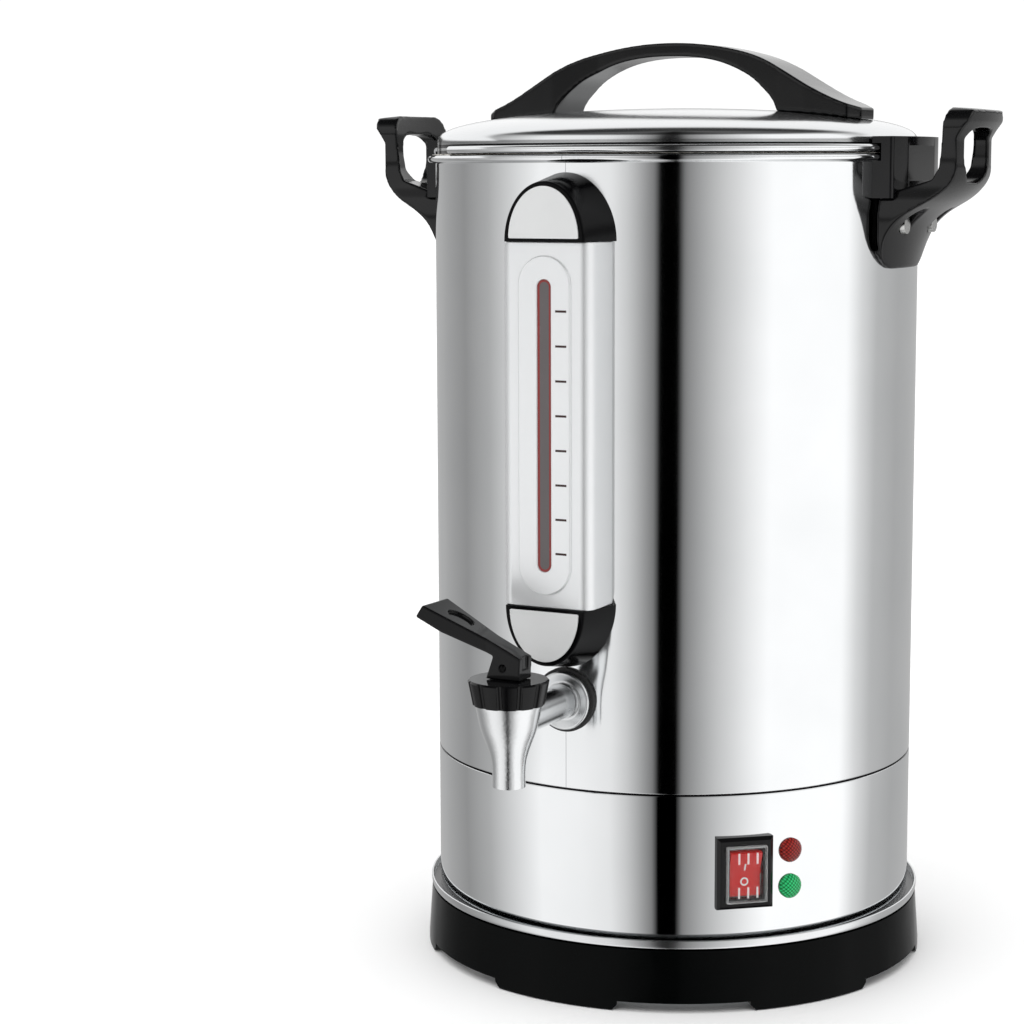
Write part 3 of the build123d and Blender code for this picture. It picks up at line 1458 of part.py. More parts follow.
with BuildSketch(Plane.XZ) as handle_face:
    with BuildLine():
        Spline(*arm_curve)
        Polyline(*grip_profile)
    make_face()
with BuildPart() as handle_blank:
    revolve(handle_face.sketch.rotate(Axis.Z, -45), axis=Axis.Z, revolution_arc=90)
    with BuildSketch(wall_plane(90, 0, 0)) as handle_outline:
        with BuildLine():
            Polyline(*outline, close=True)
        make_face()
        for (across, up), ease in zip(half_outline[1:-1], corner_rounds):
            for side in (-across, across):
                fillet(handle_outline.vertices().sort_by_distance((side, up, 0))[0], ease)
    extrude(amount=2 * grip_lip_radius, mode=Mode.INTERSECT)
    with BuildSketch(wall_plane(90, 0, bracket_radius)) as finger_hole:
        with Locations(
            (hole_half - hole_top_round, hole_top - hole_top_round),
            (hole_top_round - hole_half, hole_top - hole_top_round),
        ):
            Circle(hole_top_round)
        with Locations(
            (hole_half - hole_low_round, hole_bottom + hole_low_round),
            (hole_low_round - hole_half, hole_bottom + hole_low_round),
        ):
            Circle(hole_low_round)
        make_hull()
    extrude(amount=bracket_radius, mode=Mode.SUBTRACT)
    with BuildSketch(right_side.offset(handle_screw_seat)):
        with Locations(*screw_spots):
            SlotOverall(recess_length, recess_width, rotation=90)
    extrude(amount=bracket_radius, mode=Mode.SUBTRACT)
    with BuildSketch(right_side):
        with Locations(*screw_spots):
            Circle(handle_screw_radius)
    extrude(amount=bracket_radius, mode=Mode.SUBTRACT)
    with BuildSketch(right_side.offset(wall_boss_end)):
        with Locations(*screw_spots):
            Circle(wall_boss_radius)
    extrude(amount=-boss_length, mode=Mode.SUBTRACT)
    revolve(section(bracket_profile).rotate(Axis.Z, -45), axis=Axis.Z, revolution_arc=90, mode=Mode.SUBTRACT)

with BuildPart() as handle_right:
    add(handle_blank.part)
finish(handle_right, "handle_right")

with BuildPart() as handle_left:
    add(mirror(handle_blank.part, about=Plane.YZ))
finish(handle_left, "handle_left")

with BuildPart() as handle_screw_pair:
    with BuildSketch(right_side.offset(handle_screw_seat)):
        with Locations(*screw_spots):
            Circle(handle_screw_head)
    extrude(amount=handle_screw_head_height)
    with BuildSketch(right_side.offset(handle_screw_seat)):
        with Locations(*screw_spots):
            Circle(handle_screw_radius)
    extrude(amount=thread_end - handle_screw_seat)

with BuildPart() as handle_screws_right:
    add(handle_screw_pair.part)
finish(handle_screws_right, "handle_screws_right")

with BuildPart() as handle_screws_left:
    add(mirror(handle_screw_pair.part, about=Plane.YZ))
finish(handle_screws_left, "handle_screws_left")

# ------------------------------------------------------------------ lid
# Low dome with a rolled bead. Two wide notches in the bead drop past the brackets' hooks;
# turning the lid brings the bead in under them. The moulded handle is screwed from inside.
band_inside = lid_band_radius - sheet
dome_ways = ((1, 0), (0, -1))


def dome_solid(band, crown):
    """Everything below the dome's curve, down to the bottom of the lid."""
    dome_rise = lid_crown - lid_shoulder
    slope = [(share * band, crown - (1 - high) * dome_rise) for share, high in dome_shares.items()]
    curve = [(0, crown), *slope, (band, lid_shoulder)]
    with BuildSketch(Plane.XZ) as face:
        with BuildLine():
            Spline(*curve, tangents=dome_ways)
            Polyline((band, lid_shoulder), (band, lid_bottom), (0, lid_bottom), curve[0])
        make_face()
    with BuildPart(mode=Mode.PRIVATE) as dome:
        revolve(face.sketch, axis=Axis.Z)
    return dome.part


dome_over = dome_solid(lid_band_radius, lid_crown)
dome_under = dome_solid(band_inside, lid_crown - sheet)
lid_screw_spots = [
    (end * lid_screw_circle, side * lid_screw_spread) for end in (-1, 1) for side in (-1, 1)
]
with BuildPart() as lid_shell:
    with Locations((0, 0, lid_bottom + bead_height / 2)):
        Cylinder(bead_radius, bead_height)
    fillet(circles(lid_shell, bead_radius, lid_bottom - 1, lid_bead_top + 1), bead_round)
    with BuildSketch(Plane.XY.offset(lid_bottom)):
        for turn in (0, 180):
            with BuildLine():
                reach = 2 * bead_radius
                low_way = radians(turn - notch_half_angle)
                high_way = radians(turn + notch_half_angle)
                Polyline(
                    (0, 0),
                    (reach * cos(low_way), reach * sin(low_way)),
                    (reach * cos(high_way), reach * sin(high_way)),
                    (0, 0),
                )
            make_face()
    extrude(amount=bead_height, mode=Mode.SUBTRACT)
    add(dome_over)
    add(dome_under, mode=Mode.SUBTRACT)
    with BuildSketch(Plane.XY.offset(lid_bottom)):
        with Locations(*lid_screw_spots):
            Circle(lid_screw_radius)
    extrude(amount=lid_crown - lid_bottom, mode=Mode.SUBTRACT)
finish(lid_shell, "lid_shell")

over_rise = lid_handle_top - lid_handle_tip_height
grip_over = [
    (0, lid_handle_top),
    *[(share * lid_handle_half, lid_handle_tip_height + high * over_rise) for share, high in grip_over_shares.items()],
    (lid_handle_half, lid_handle_tip_height),
]
under_rise = lid_handle_under - lid_crown
grip_under = [
    (0, lid_handle_under),
    *[(share * lid_handle_foot, lid_crown + high * under_rise) for share, high in grip_under_shares.items()],
    (lid_handle_foot, lid_shoulder),
]
foot_start = lid_handle_foot - lid_handle_foot_margin[0]
foot_end = lid_handle_foot + lid_handle_foot_margin[1]
half_plan = [
    (lid_handle_half, lid_handle_tip_width / 2 - lid_handle_plan_round),
    (lid_handle_half - lid_handle_plan_round, lid_handle_tip_width / 2),
    (foot_end, lid_handle_foot_width / 2),
    (foot_start, lid_handle_foot_width / 2),
    (lid_handle_grip_end, lid_handle_grip_width / 2),
    (0, lid_handle_grip_width / 2),
]
upper_plan = half_plan + [(-length, side) for length, side in reversed(half_plan[:-1])]
plan = upper_plan + [(length, -side) for length, side in reversed(upper_plan)]
handle_floor = lid_shoulder
with BuildPart() as lid_handle:
    with BuildSketch(Plane.XZ) as grip_face:
        with BuildLine():
            Spline(*grip_over, tangents=((1, 0), (1, -0.35)))
            Polyline(grip_over[-1], (lid_handle_half, handle_floor), (0, handle_floor), grip_over[0])
        make_face()
        with BuildLine():
            Spline(*grip_under, tangents=((1, 0), (0.3, -1)))
            Polyline(grip_under[-1], (0, grip_under[-1][1]), grip_under[0])
        make_face(mode=Mode.SUBTRACT)
        mirror(about=Plane.YZ)
    extrude(amount=lid_handle_foot_width, both=True)
    with BuildSketch(Plane.XY.offset(handle_floor)):
        with BuildLine():
            Polyline(*plan, close=True)
        make_face()
    extrude(amount=lid_handle_top - handle_floor, mode=Mode.INTERSECT)
    add(dome_over, mode=Mode.SUBTRACT)
    for end, side in lid_screw_spots:
        with Locations((end, side, lid_bottom)):
            Cylinder(
                lid_screw_radius,
                lid_screw_top - lid_bottom,
                align=(Align.CENTER, Align.CENTER, Align.MIN),
                mode=Mode.SUBTRACT,
            )
finish(lid_handle, "lid_handle")

with BuildPart() as lid_handle_screws:
    with BuildSketch(Plane.XY.offset(lid_screw_top)):
        with Locations(*lid_screw_spots):
            Circle(lid_screw_radius)
    extrude(amount=lid_screw_seat - lid_screw_top)
    with BuildSketch(Plane.XY.offset(lid_screw_seat - lid_screw_head_height)):
        with Locations(*lid_screw_spots):
            Circle(lid_screw_head)
    extrude(amount=lid_screw_head_height)
finish(lid_handle_screws, "lid_handle_screws")

# Silicone seal: a flat ring between the two beads and a lip that hangs inside the tank.
lip_outside = band_inside - gasket_play
gasket_profile = [
    (lip_outside - gasket_lip, rim_height - gasket_drop),
    (lip_outside, rim_height - gasket_drop),
    (lip_outside, rim_height),
    (gasket_flange_radius, rim_height),
    (gasket_flange_radius, lid_bottom),
    (lip_outside, lid_bottom),
    (lip_outside, lid_bottom + gasket_rise),
    (lip_outside - gasket_lip, lid_bottom + gasket_rise),
]
with BuildPart() as lid_gasket:
    revolve(section(gasket_profile), axis=Axis.Z)
finish(lid_gasket, "lid_gasket")

# ------------------------------------------------------------------ percolator
# Bell-shaped foot cup in the floor's well, a stem tube with a stop collar, the coffee basket
# that slides on the stem, a spreader disc on the stem's top and a spring between the two.
cup_low = well_inside
cup_high = cup_low + foot_cup_height
neck_high = cup_high + foot_cup_neck_height
foot_profile = [
    (foot_cup_radius, cup_low),
    (foot_cup_radius, cup_low + foot_cup_rim),
    (foot_cup_neck, cup_high),
    (foot_cup_neck, neck_high),
    (pump_stem_radius, neck_high),
    (pump_stem_radius, cup_high),
    (pump_stem_bore, cup_high - sheet),
    (foot_cup_radius - sheet, cup_low + foot_cup_rim - sheet / 2),
    (foot_cup_radius - sheet, cup_low),
]
with BuildPart() as foot_cup:
    revolve(section(foot_profile), axis=Axis.Z)
    for count in range(foot_hole_count):
        with Locations(Location((0, 0, cup_low), (0, 90, count * 180 / foot_hole_count))):
            Cylinder(foot_hole_radius, 4 * foot_cup_radius, mode=Mode.SUBTRACT)
finish(foot_cup, "foot_cup")

basket_bottom = basket_floor_height - basket_sheet
sleeve_bore = pump_stem_radius + sleeve_gap
with BuildPart() as stem_tube:
    with BuildSketch(Plane.XY.offset(cup_high)):
        Circle(pump_stem_radius)
    extrude(amount=pump_stem_top - cup_high)
    with BuildSketch(Plane.XY.offset(basket_bottom)):
        Circle(stop_radius)
    extrude(amount=-stop_height)
    with BuildSketch(Plane.XY.offset(cup_high)):
        Circle(pump_stem_bore)
    extrude(amount=pump_stem_top - cup_high, mode=Mode.SUBTRACT)
finish(stem_tube, "stem_tube")

low_rib = basket_bottom + basket_height / 3
high_rib = basket_bottom + 2 * basket_height / 3
basket_inside = basket_radius - basket_sheet
basket_profile = [
    (sleeve_bore, basket_bottom),
    (basket_radius, basket_bottom),
    (basket_radius, low_rib),
    (basket_radius + basket_rib, low_rib),
    (basket_radius + basket_rib, low_rib + basket_rib_height),
    (basket_radius, low_rib + basket_rib_height),
    (basket_radius, high_rib),
    (basket_radius + basket_rib, high_rib),
    (basket_radius + basket_rib, high_rib + basket_rib_height),
    (basket_radius, high_rib + basket_rib_height),
    (basket_radius, basket_top),
    (basket_inside, basket_top),
    (basket_inside, basket_floor_height),
    (sleeve_radius, basket_floor_height),
    (sleeve_radius, sleeve_top),
    (sleeve_bore, sleeve_top),
]
with BuildPart() as basket:
    revolve(section(basket_profile), axis=Axis.Z)
    fillet(circles(basket, basket_inside, basket_bottom, low_rib), basket_round - basket_sheet)
    fillet(circles(basket, basket_radius, basket_bottom - basket_sheet, basket_floor_height), basket_round)
    fillet(circles(basket, basket_radius + basket_rib, low_rib - 1, basket_top), basket_rib / 2)
    with BuildSketch(Plane.XY.offset(basket_bottom)):
        for circle, count in basket_hole_rings.items():
            with PolarLocations(circle, count):
                Circle(basket_hole_radius)
    extrude(amount=basket_sheet, mode=Mode.SUBTRACT)
finish(basket, "basket")

spreader_edge = sleeve_top + stem_spring_length
spreader_profile = [
    (pump_stem_radius, spreader_edge),
    (sleeve_radius, spreader_edge),
    (stop_radius, spreader_edge + spreader_rise - 2 * sheet),
    (spreader_radius, spreader_edge),
    (spreader_radius, spreader_edge + sheet),
    (stop_radius, spreader_edge + spreader_rise),
    (pump_stem_radius, spreader_edge + spreader_rise),
]
with BuildPart() as spreader_disc:
    revolve(section(spreader_profile), axis=Axis.Z)
    with BuildSketch(Plane.XY.offset(spreader_edge)):
        with PolarLocations((spreader_radius + stop_radius) / 2, spreader_hole_count):
            Circle(spreader_hole_radius)
    extrude(amount=spreader_rise, mode=Mode.SUBTRACT)
finish(spreader_disc, "spreader_disc")

stem_spring_base = sleeve_top + stem_spring_wire
stem_spring_rise = stem_spring_length - 2 * stem_spring_wire
stem_spring_coil = pump_stem_radius + 2 * stem_spring_wire
with BuildPart() as stem_spring:
    add(
        coil_spring(
            stem_spring_coil, stem_spring_wire, stem_spring_turns, stem_spring_base, stem_spring_rise, (0, 0)
        )
    )
finish(stem_spring, "stem_spring")
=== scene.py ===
import json
from math import atan2, cos, pi, radians, sin, tan

import bpy
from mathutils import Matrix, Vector

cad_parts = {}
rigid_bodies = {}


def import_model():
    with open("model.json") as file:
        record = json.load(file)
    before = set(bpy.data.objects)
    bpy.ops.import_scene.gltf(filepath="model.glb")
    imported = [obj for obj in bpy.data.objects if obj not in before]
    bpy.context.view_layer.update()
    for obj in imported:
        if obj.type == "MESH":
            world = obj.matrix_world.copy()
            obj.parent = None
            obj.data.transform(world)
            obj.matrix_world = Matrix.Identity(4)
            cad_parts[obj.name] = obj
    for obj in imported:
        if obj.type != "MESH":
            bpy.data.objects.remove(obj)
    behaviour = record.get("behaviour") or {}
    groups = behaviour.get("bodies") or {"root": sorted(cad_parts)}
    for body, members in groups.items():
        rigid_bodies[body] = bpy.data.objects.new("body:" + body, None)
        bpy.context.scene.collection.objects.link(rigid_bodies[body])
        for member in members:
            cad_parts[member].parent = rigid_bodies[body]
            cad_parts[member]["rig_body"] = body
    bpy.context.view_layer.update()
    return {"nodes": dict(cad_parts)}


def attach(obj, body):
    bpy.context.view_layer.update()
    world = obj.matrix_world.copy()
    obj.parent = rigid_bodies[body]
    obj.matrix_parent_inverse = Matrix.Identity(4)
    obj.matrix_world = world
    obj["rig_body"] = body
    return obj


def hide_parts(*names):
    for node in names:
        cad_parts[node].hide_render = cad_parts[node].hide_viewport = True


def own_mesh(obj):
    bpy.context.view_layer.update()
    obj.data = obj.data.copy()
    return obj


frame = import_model()

# ---------------------------------------------------------------- tank
# Straight-sided vessel of thin 18/8 stainless sheet, drawn with its floor and the small well for
# the pump's foot, butt welded down the front and polished to a mirror. The rim is rolled outwards.
MM = 0.001
TANK_RADIUS = 113.0
SHEET = 0.8
TANK_BOTTOM = 97.9
TANK_FLOOR = 103.8
RIM_TOP = 377.7
RIM_BEAD_RADIUS = 116.5
RIM_BEAD_HEIGHT = 3.4
BEAD_EASE = 1.6
BEAD_CREASE = 0.8
WELL_RADIUS = 17.0
WELL_FLOOR = 94.8


def linear(hex_colour):
    """An sRGB hex colour as the linear colour that a shader takes."""
    parts = [int(hex_colour[place : place + 2], 16) / 255 for place in (1, 3, 5)]
    curved = [part / 12.92 if part <= 0.04045 else ((part + 0.055) / 1.055) ** 2.4 for part in parts]
    return curved + [1.0]


def add_node(tree, kind, inputs=None, **settings):
    """Add a shader node; each input is a plain value or the socket that feeds it."""
    made = tree.nodes.new("ShaderNode" + kind)
    for name, value in settings.items():
        setattr(made, name, value)
    for name, value in (inputs or {}).items():
        if isinstance(value, bpy.types.NodeSocket):
            tree.links.new(value, made.inputs[name])
        else:
            made.inputs[name].default_value = value
    return made


def new_finish(name, surface):
    """Start a finish with the settings that are the same all over the piece.

    Gives the finish, its tree, its shader and the place on the piece.
    """
    finish = bpy.data.materials.new(name)
    finish.use_nodes = True
    tree = finish.node_tree
    tree.nodes.clear()
    shader = add_node(tree, "BsdfPrincipled", surface)
    add_node(tree, "OutputMaterial", {"Surface": shader.outputs["BSDF"]})
    place = add_node(tree, "TexCoord").outputs["Object"]
    return finish, tree, shader, place


def per_mm(size):
    """Noise scale that gives features of this size in millimetres."""
    return 1 / (size * MM)


def clouded(tree, place, size, detail, gloss, span=(0.3, 0.7)):
    """Clouds of a size in millimetres, and a roughness that wanders with them."""
    cloud = add_node(tree, "TexNoise", {"Vector": place, "Scale": per_mm(size), "Detail": detail})
    rough = add_node(
        tree,
        "MapRange",
        {
            "Value": cloud.outputs["Fac"],
            "From Min": span[0],
            "From Max": span[1],
            "To Min": gloss[0],
            "To Max": gloss[1],
        },
    )
    return cloud.outputs["Fac"], rough.outputs["Result"]


# The wheel's lines lie a few hundredths of a millimetre apart. They are drawn half a millimetre
# apart, because finer ones wouldn't show.
LINE_GAP = 0.5
LINE_RUN = 60.0
LINE_DEPTH = 0.02
HANDLING_PATCH = 55.0
BUFFING_WAVE = 70.0
WAVE_DEPTH = 0.4
WELD_CORE = 0.05
WELD_EDGE = 0.3
WELD_FRONT = -100.0
DRAWN_DULL = 0.5
LINES_LIE_ROUND = 0.25


def polished_steel(name, colour, gloss, weld=False, shade_bands=(), drag=0.0, bore=0.0):
    """Polished stainless: buffing leaves long faint waves, and handling leaves softer patches.

    Each shade band, given as (outer radius, low, high) in millimetres, is painted shade: the sheet
    turns dark inside the radius and between the heights, where shade falls in a groove. The wheel's
    lines run round the piece, and drag says how far they draw what is reflected up and down. Within
    the radius of the bore the sheet is left dull, as it was drawn.
    """
    finish, tree, shader, place = new_finish(
        name, {"Metallic": 1.0, "Anisotropic": drag, "Anisotropic Rotation": LINES_LIE_ROUND}
    )
    patches, polish = clouded(tree, place, HANDLING_PATCH, 3.0, gloss, span=(0.35, 0.7))
    split = add_node(tree, "SeparateXYZ", {"Vector": place})
    flat = add_node(tree, "CombineXYZ", {"X": split.outputs["X"], "Y": split.outputs["Y"]})
    radius = add_node(tree, "VectorMath", {0: flat.outputs["Vector"]}, operation="LENGTH")
    inside = add_node(tree, "Math", {0: radius.outputs["Value"], 1: bore * MM}, operation="LESS_THAN")
    rough = add_node(
        tree, "Mix", {"Factor": inside.outputs["Value"], "A": polish, "B": DRAWN_DULL}, data_type="FLOAT"
    )
    tint = add_node(
        tree, "Mix", {"Factor": patches, "A": linear(colour), "B": linear("#F0F1F2")}, data_type="RGBA"
    )
    base = tint.outputs["Result"]
    waves = add_node(tree, "TexNoise", {"Vector": place, "Scale": per_mm(BUFFING_WAVE), "Detail": 1.0})
    swell = add_node(
        tree, "Bump", {"Height": waves.outputs["Fac"], "Strength": 0.12, "Distance": WAVE_DEPTH * MM}
    )
    drawn = add_node(tree, "Mapping", {"Vector": place, "Scale": (1, 1, LINE_RUN / LINE_GAP)})
    lines = add_node(
        tree, "TexNoise", {"Vector": drawn.outputs["Vector"], "Scale": per_mm(LINE_RUN), "Detail": 2.0}
    )
    bump = add_node(
        tree,
        "Bump",
        {
            "Height": lines.outputs["Fac"],
            "Strength": 0.1,
            "Distance": LINE_DEPTH * MM,
            "Normal": swell.outputs["Normal"],
        },
    )
    if weld:
        # The weld is ground flush, and shows as a hairline down the front.
        beside = add_node(tree, "Math", {0: split.outputs["X"]}, operation="ABSOLUTE")
        line = add_node(
            tree,
            "MapRange",
            {
                "Value": beside.outputs["Value"],
                "From Min": WELD_CORE * MM,
                "From Max": WELD_EDGE * MM,
                "To Min": 0.75,
                "To Max": 0.0,
            },
        )
        front = add_node(tree, "Math", {0: split.outputs["Y"], 1: WELD_FRONT * MM}, operation="LESS_THAN")
        seam = add_node(
            tree, "Math", {0: line.outputs["Result"], 1: front.outputs["Value"]}, operation="MULTIPLY"
        )
        weld_tint = add_node(
            tree,
            "Mix",
            {"Factor": seam.outputs["Value"], "A": base, "B": linear("#A2A4A6")},
            data_type="RGBA",
        )
        base = weld_tint.outputs["Result"]
    # Painted shade: each band turns the sheet dark grey inside its radius and between its heights.
    for edge, low, high in shade_bands:
        shade_mask = None
        for socket, bound, operation in (
            (radius.outputs["Value"], edge, "LESS_THAN"),
            (split.outputs["Z"], low, "GREATER_THAN"),
            (split.outputs["Z"], high, "LESS_THAN"),
        ):
            kept = add_node(tree, "Math", {0: socket, 1: bound * MM}, operation=operation)
            if shade_mask is not None:
                kept = add_node(
                    tree, "Math", {0: shade_mask.outputs["Value"], 1: kept.outputs["Value"]}, operation="MULTIPLY"
                )
            shade_mask = kept
        shaded = add_node(
            tree,
            "Mix",
            {"Factor": shade_mask.outputs["Value"], "A": base, "B": linear("#2A2A2B")},
            data_type="RGBA",
        )
        base = shaded.outputs["Result"]
    tree.links.new(base, shader.inputs["Base Color"])
    tree.links.new(rough.outputs["Result"], shader.inputs["Roughness"])
    tree.links.new(bump.outputs["Normal"], shader.inputs["Normal"])
    return finish


EASE_STEPS = 6
MERGE_GAP = 0.002
SHARP_WHEN_TURNED = 40


def eased(corners):
    """Closed outline of (radius, height, ease) corners, with each corner rounded by its ease."""
    outline = []
    for place, (across, up, ease) in enumerate(corners):
        corner = Vector((across, up))
        before = (Vector(corners[place - 1][:2]) - corner).normalized()
        after = (Vector(corners[(place + 1) % len(corners)][:2]) - corner).normalized()
        if not ease:
            outline.append(corner)
            continue
        half = before.angle(after) / 2
        middle = corner + (before + after).normalized() * ease / sin(half)
        first = corner + before * ease / tan(half) - middle
        last = corner + after * ease / tan(half) - middle
        start = atan2(first.y, first.x)
        turn = (atan2(last.y, last.x) - start + pi) % (2 * pi) - pi
        for step in range(EASE_STEPS + 1):
            angle = start + turn * step / EASE_STEPS
            outline.append(middle + Vector((cos(angle), sin(angle))) * ease)
    return outline


def turned(name, corners, segments=256, start=0, sweep=360):
    """Spin a closed section, given in millimetres, round the upright axis; start is counted from +X."""
    outline = eased(corners)
    whole = sweep == 360
    bpy.ops.object.select_all(action="DESELECT")
    bpy.ops.mesh.primitive_circle_add(vertices=len(outline), fill_type="NOTHING" if whole else "NGON")
    piece = bpy.context.object
    piece.name = name
    out = Vector((cos(radians(start)), sin(radians(start)), 0))
    for vertex, (radius, height) in zip(piece.data.vertices, outline):
        vertex.co = (Vector((0, 0, height)) + out * radius) * MM
    bpy.ops.object.mode_set(mode="EDIT")
    bpy.ops.mesh.select_all(action="SELECT")
    bpy.ops.mesh.spin(steps=segments, angle=radians(sweep), center=(0, 0, 0), axis=(0, 0, 1))
    bpy.ops.mesh.select_all(action="SELECT")
    bpy.ops.mesh.remove_doubles(threshold=MERGE_GAP * MM)
    bpy.ops.mesh.dissolve_degenerate(threshold=MERGE_GAP / 2 * MM)
    bpy.ops.mesh.select_all(action="SELECT")
    bpy.ops.mesh.normals_make_consistent(inside=False)
    bpy.ops.object.mode_set(mode="OBJECT")
    bpy.ops.object.shade_smooth_by_angle(angle=radians(SHARP_WHEN_TURNED))
    return piece


def fit(piece, finish, *nodes):
    """The piece stands for these nodes: it rides on their body, wears the finish, and the nodes are hidden.
    """
    piece.data.materials.clear()
    piece.data.materials.append(finish)
    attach(piece, frame["nodes"][nodes[0]]["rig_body"])
    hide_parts(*nodes)


tank_inside = TANK_RADIUS - SHEET
tank_section = [
    (0, WELL_FLOOR - SHEET, 0),
    (WELL_RADIUS, WELL_FLOOR - SHEET, 1.5),
    (WELL_RADIUS, TANK_FLOOR - SHEET, 0.5),
    (tank_inside, TANK_FLOOR - SHEET, 0),
    (tank_inside, TANK_BOTTOM, 0.15),
    (TANK_RADIUS, TANK_BOTTOM, 0.75),
    (TANK_RADIUS, RIM_TOP - RIM_BEAD_HEIGHT, 0.5),
    (RIM_BEAD_RADIUS, RIM_TOP - RIM_BEAD_HEIGHT, BEAD_EASE),
    (RIM_BEAD_RADIUS, RIM_TOP, BEAD_EASE),
    (tank_inside, RIM_TOP, 0.6),
    (tank_inside, TANK_FLOOR, 4.0),
    (WELL_RADIUS - SHEET, TANK_FLOOR, 0.5),
    (WELL_RADIUS - SHEET, WELL_FLOOR, 1.5),
    (0, WELL_FLOOR, 0),
]

# The wall is a bright mirror, drawn out up and down by the wheel. Under the rolled bead the sheet is
# darkened with painted shade.
tank_finish = polished_steel(
    "polished_stainless_tank",
    "#E1E3E4",
    (0.08, 0.11),
    weld=True,
    shade_bands=[(RIM_BEAD_RADIUS - BEAD_CREASE, RIM_TOP - 1.3, RIM_TOP + 2.3)],
    drag=0.9,
    bore=TANK_RADIUS - SHEET / 2,
)
tank = turned("tank_vessel", tank_section)
fit(tank, tank_finish, "tank")

# ---------------------------------------------------------------- base skirt and trim ring
# Rolled band of the same polished sheet that closes the heater space; its inner ring centres the
# tank, and a pressed ring with an upturned lip covers the joint to the plastic base.
SEAM = 97.5
SKIRT_BOTTOM = 29.0
SPIGOT_HEIGHT = 5.0
TRIM_RADIUS = 117.3
TRIM_BOTTOM = 28.2
TRIM_LIP = 4.6
TRIM_INSIDE = 104.0

spigot_outside = tank_inside - 0.1
spigot_inside = spigot_outside - SHEET
skirt_section = [
    (tank_inside, SKIRT_BOTTOM, 0.2),
    (TANK_RADIUS, SKIRT_BOTTOM, 0.2),
    (TANK_RADIUS, SEAM, 0.75),
    (spigot_outside, SEAM, 0.1),
    (spigot_outside, SEAM + SPIGOT_HEIGHT, 0.2),
    (spigot_inside, SEAM + SPIGOT_HEIGHT, 0.2),
    (spigot_inside, SEAM - SPIGOT_HEIGHT, 0.2),
    (tank_inside, SEAM - SPIGOT_HEIGHT - 2 * SHEET, 0.2),
]

# The band comes off the same wheel as the tank, and its short wall shows a cleaner mirror. Inside the
# seam the sheet is darkened with painted shade.
skirt_finish = polished_steel(
    "polished_stainless_skirt",
    "#E1E3E4",
    (0.02, 0.05),
    shade_bands=[(TANK_RADIUS - 0.15, SEAM - 1, SEAM + 6)],
)
skirt = turned("skirt_band", skirt_section)


def pick(*pieces):
    """Select these pieces and nothing else, with the first of them active."""
    bpy.ops.object.select_all(action="DESELECT")
    for piece in pieces:
        piece.select_set(True)
    bpy.context.view_layer.objects.active = pieces[0]


# The band is punched out at the back, where the body of the mains inlet goes through it. The
# opening is given as its width, the depth of the punch and its height.
INLET_HEIGHT = 58.0
INLET_OPENING = (34.0, 20.0, 21.0)
bpy.ops.object.select_all(action="DESELECT")
bpy.ops.mesh.primitive_cube_add(size=MM)
punch = bpy.context.object
for vertex in punch.data.vertices:
    across, depth, up = vertex.co
    vertex.co = (
        across * INLET_OPENING[0],
        depth * INLET_OPENING[1] + TANK_RADIUS * MM,
        up * INLET_OPENING[2] + INLET_HEIGHT * MM,
    )
pick(skirt)
hole = skirt.modifiers.new("punch", "BOOLEAN")
hole.object = punch
hole.solver = "EXACT"
bpy.ops.object.modifier_apply(modifier="punch")
bpy.data.objects.remove(punch)
bpy.ops.object.shade_smooth_by_angle(angle=radians(SHARP_WHEN_TURNED))
fit(skirt, skirt_finish, "base_skirt")

trim_section = [
    (TRIM_INSIDE, TRIM_BOTTOM, 0),
    (TRIM_RADIUS, TRIM_BOTTOM, 2.2),
    (TRIM_RADIUS, TRIM_BOTTOM + TRIM_LIP, 0.35),
    (TRIM_RADIUS - SHEET, TRIM_BOTTOM + TRIM_LIP, 0.35),
    (TRIM_RADIUS - SHEET, TRIM_BOTTOM + SHEET, 1.4),
    (TRIM_INSIDE, TRIM_BOTTOM + SHEET, 0),
]

# The pressed ring is only brushed over after pressing, so it is softer and a shade darker. Inside its
# lip, next to the skirt, the sheet is darkened with painted shade.
trim_finish = polished_steel(
    "satin_trim_ring",
    "#C9CBCC",
    (0.12, 0.17),
    shade_bands=[(TRIM_RADIUS - SHEET - 0.3, TRIM_BOTTOM, TRIM_BOTTOM + 2)],
)
fit(turned("trim_ring", trim_section), trim_finish, "skirt_trim_ring")

# ---------------------------------------------------------------- base ring, feet and bottom plate
# One glossy moulding in black PP on six broad feet, each with a rubber pad let into it; a pressed
# steel plate closes the base from below with three screws.
GLOSS_CLOUD = 22.0
GRAIN_DEPTH = 0.05
FLAT_WITHIN = 0.4
SHARP_WHEN_MOULDED = 32
EASED_ABOVE = 30


def moulded_plastic(name, colour, gloss, grain, depth, coat=0.0, shine=0.5, flake=0.0):
    """Moulded plastic or rubber: the tool leaves a fine grain, and the gloss wanders a little.

    The coat is a layer of clear lacquer, shine is how much the bare surface throws back, and flake
    is the share of metal in a sprayed finish. The grain is in millimetres, and is drawn about five
    times as coarse as the spark-eroded one, which wouldn't show.
    """
    finish, tree, shader, place = new_finish(
        name,
        {
            "IOR": 1.5,
            "Coat Weight": coat,
            "Coat Roughness": 0.06,
            "Specular IOR Level": shine,
            "Metallic": flake,
        },
    )
    broad, rough = clouded(tree, place, GLOSS_CLOUD, 4.0, gloss)
    tone = add_node(
        tree, "Mix", {"Factor": broad, "A": linear(colour[0]), "B": linear(colour[1])}, data_type="RGBA"
    )
    pits = add_node(tree, "TexNoise", {"Vector": place, "Scale": per_mm(grain), "Detail": 2.0})
    bump = add_node(
        tree, "Bump", {"Height": pits.outputs["Fac"], "Strength": depth, "Distance": GRAIN_DEPTH * MM}
    )
    tree.links.new(tone.outputs["Result"], shader.inputs["Base Color"])
    tree.links.new(rough, shader.inputs["Roughness"])
    tree.links.new(bump.outputs["Normal"], shader.inputs["Normal"])
    return finish


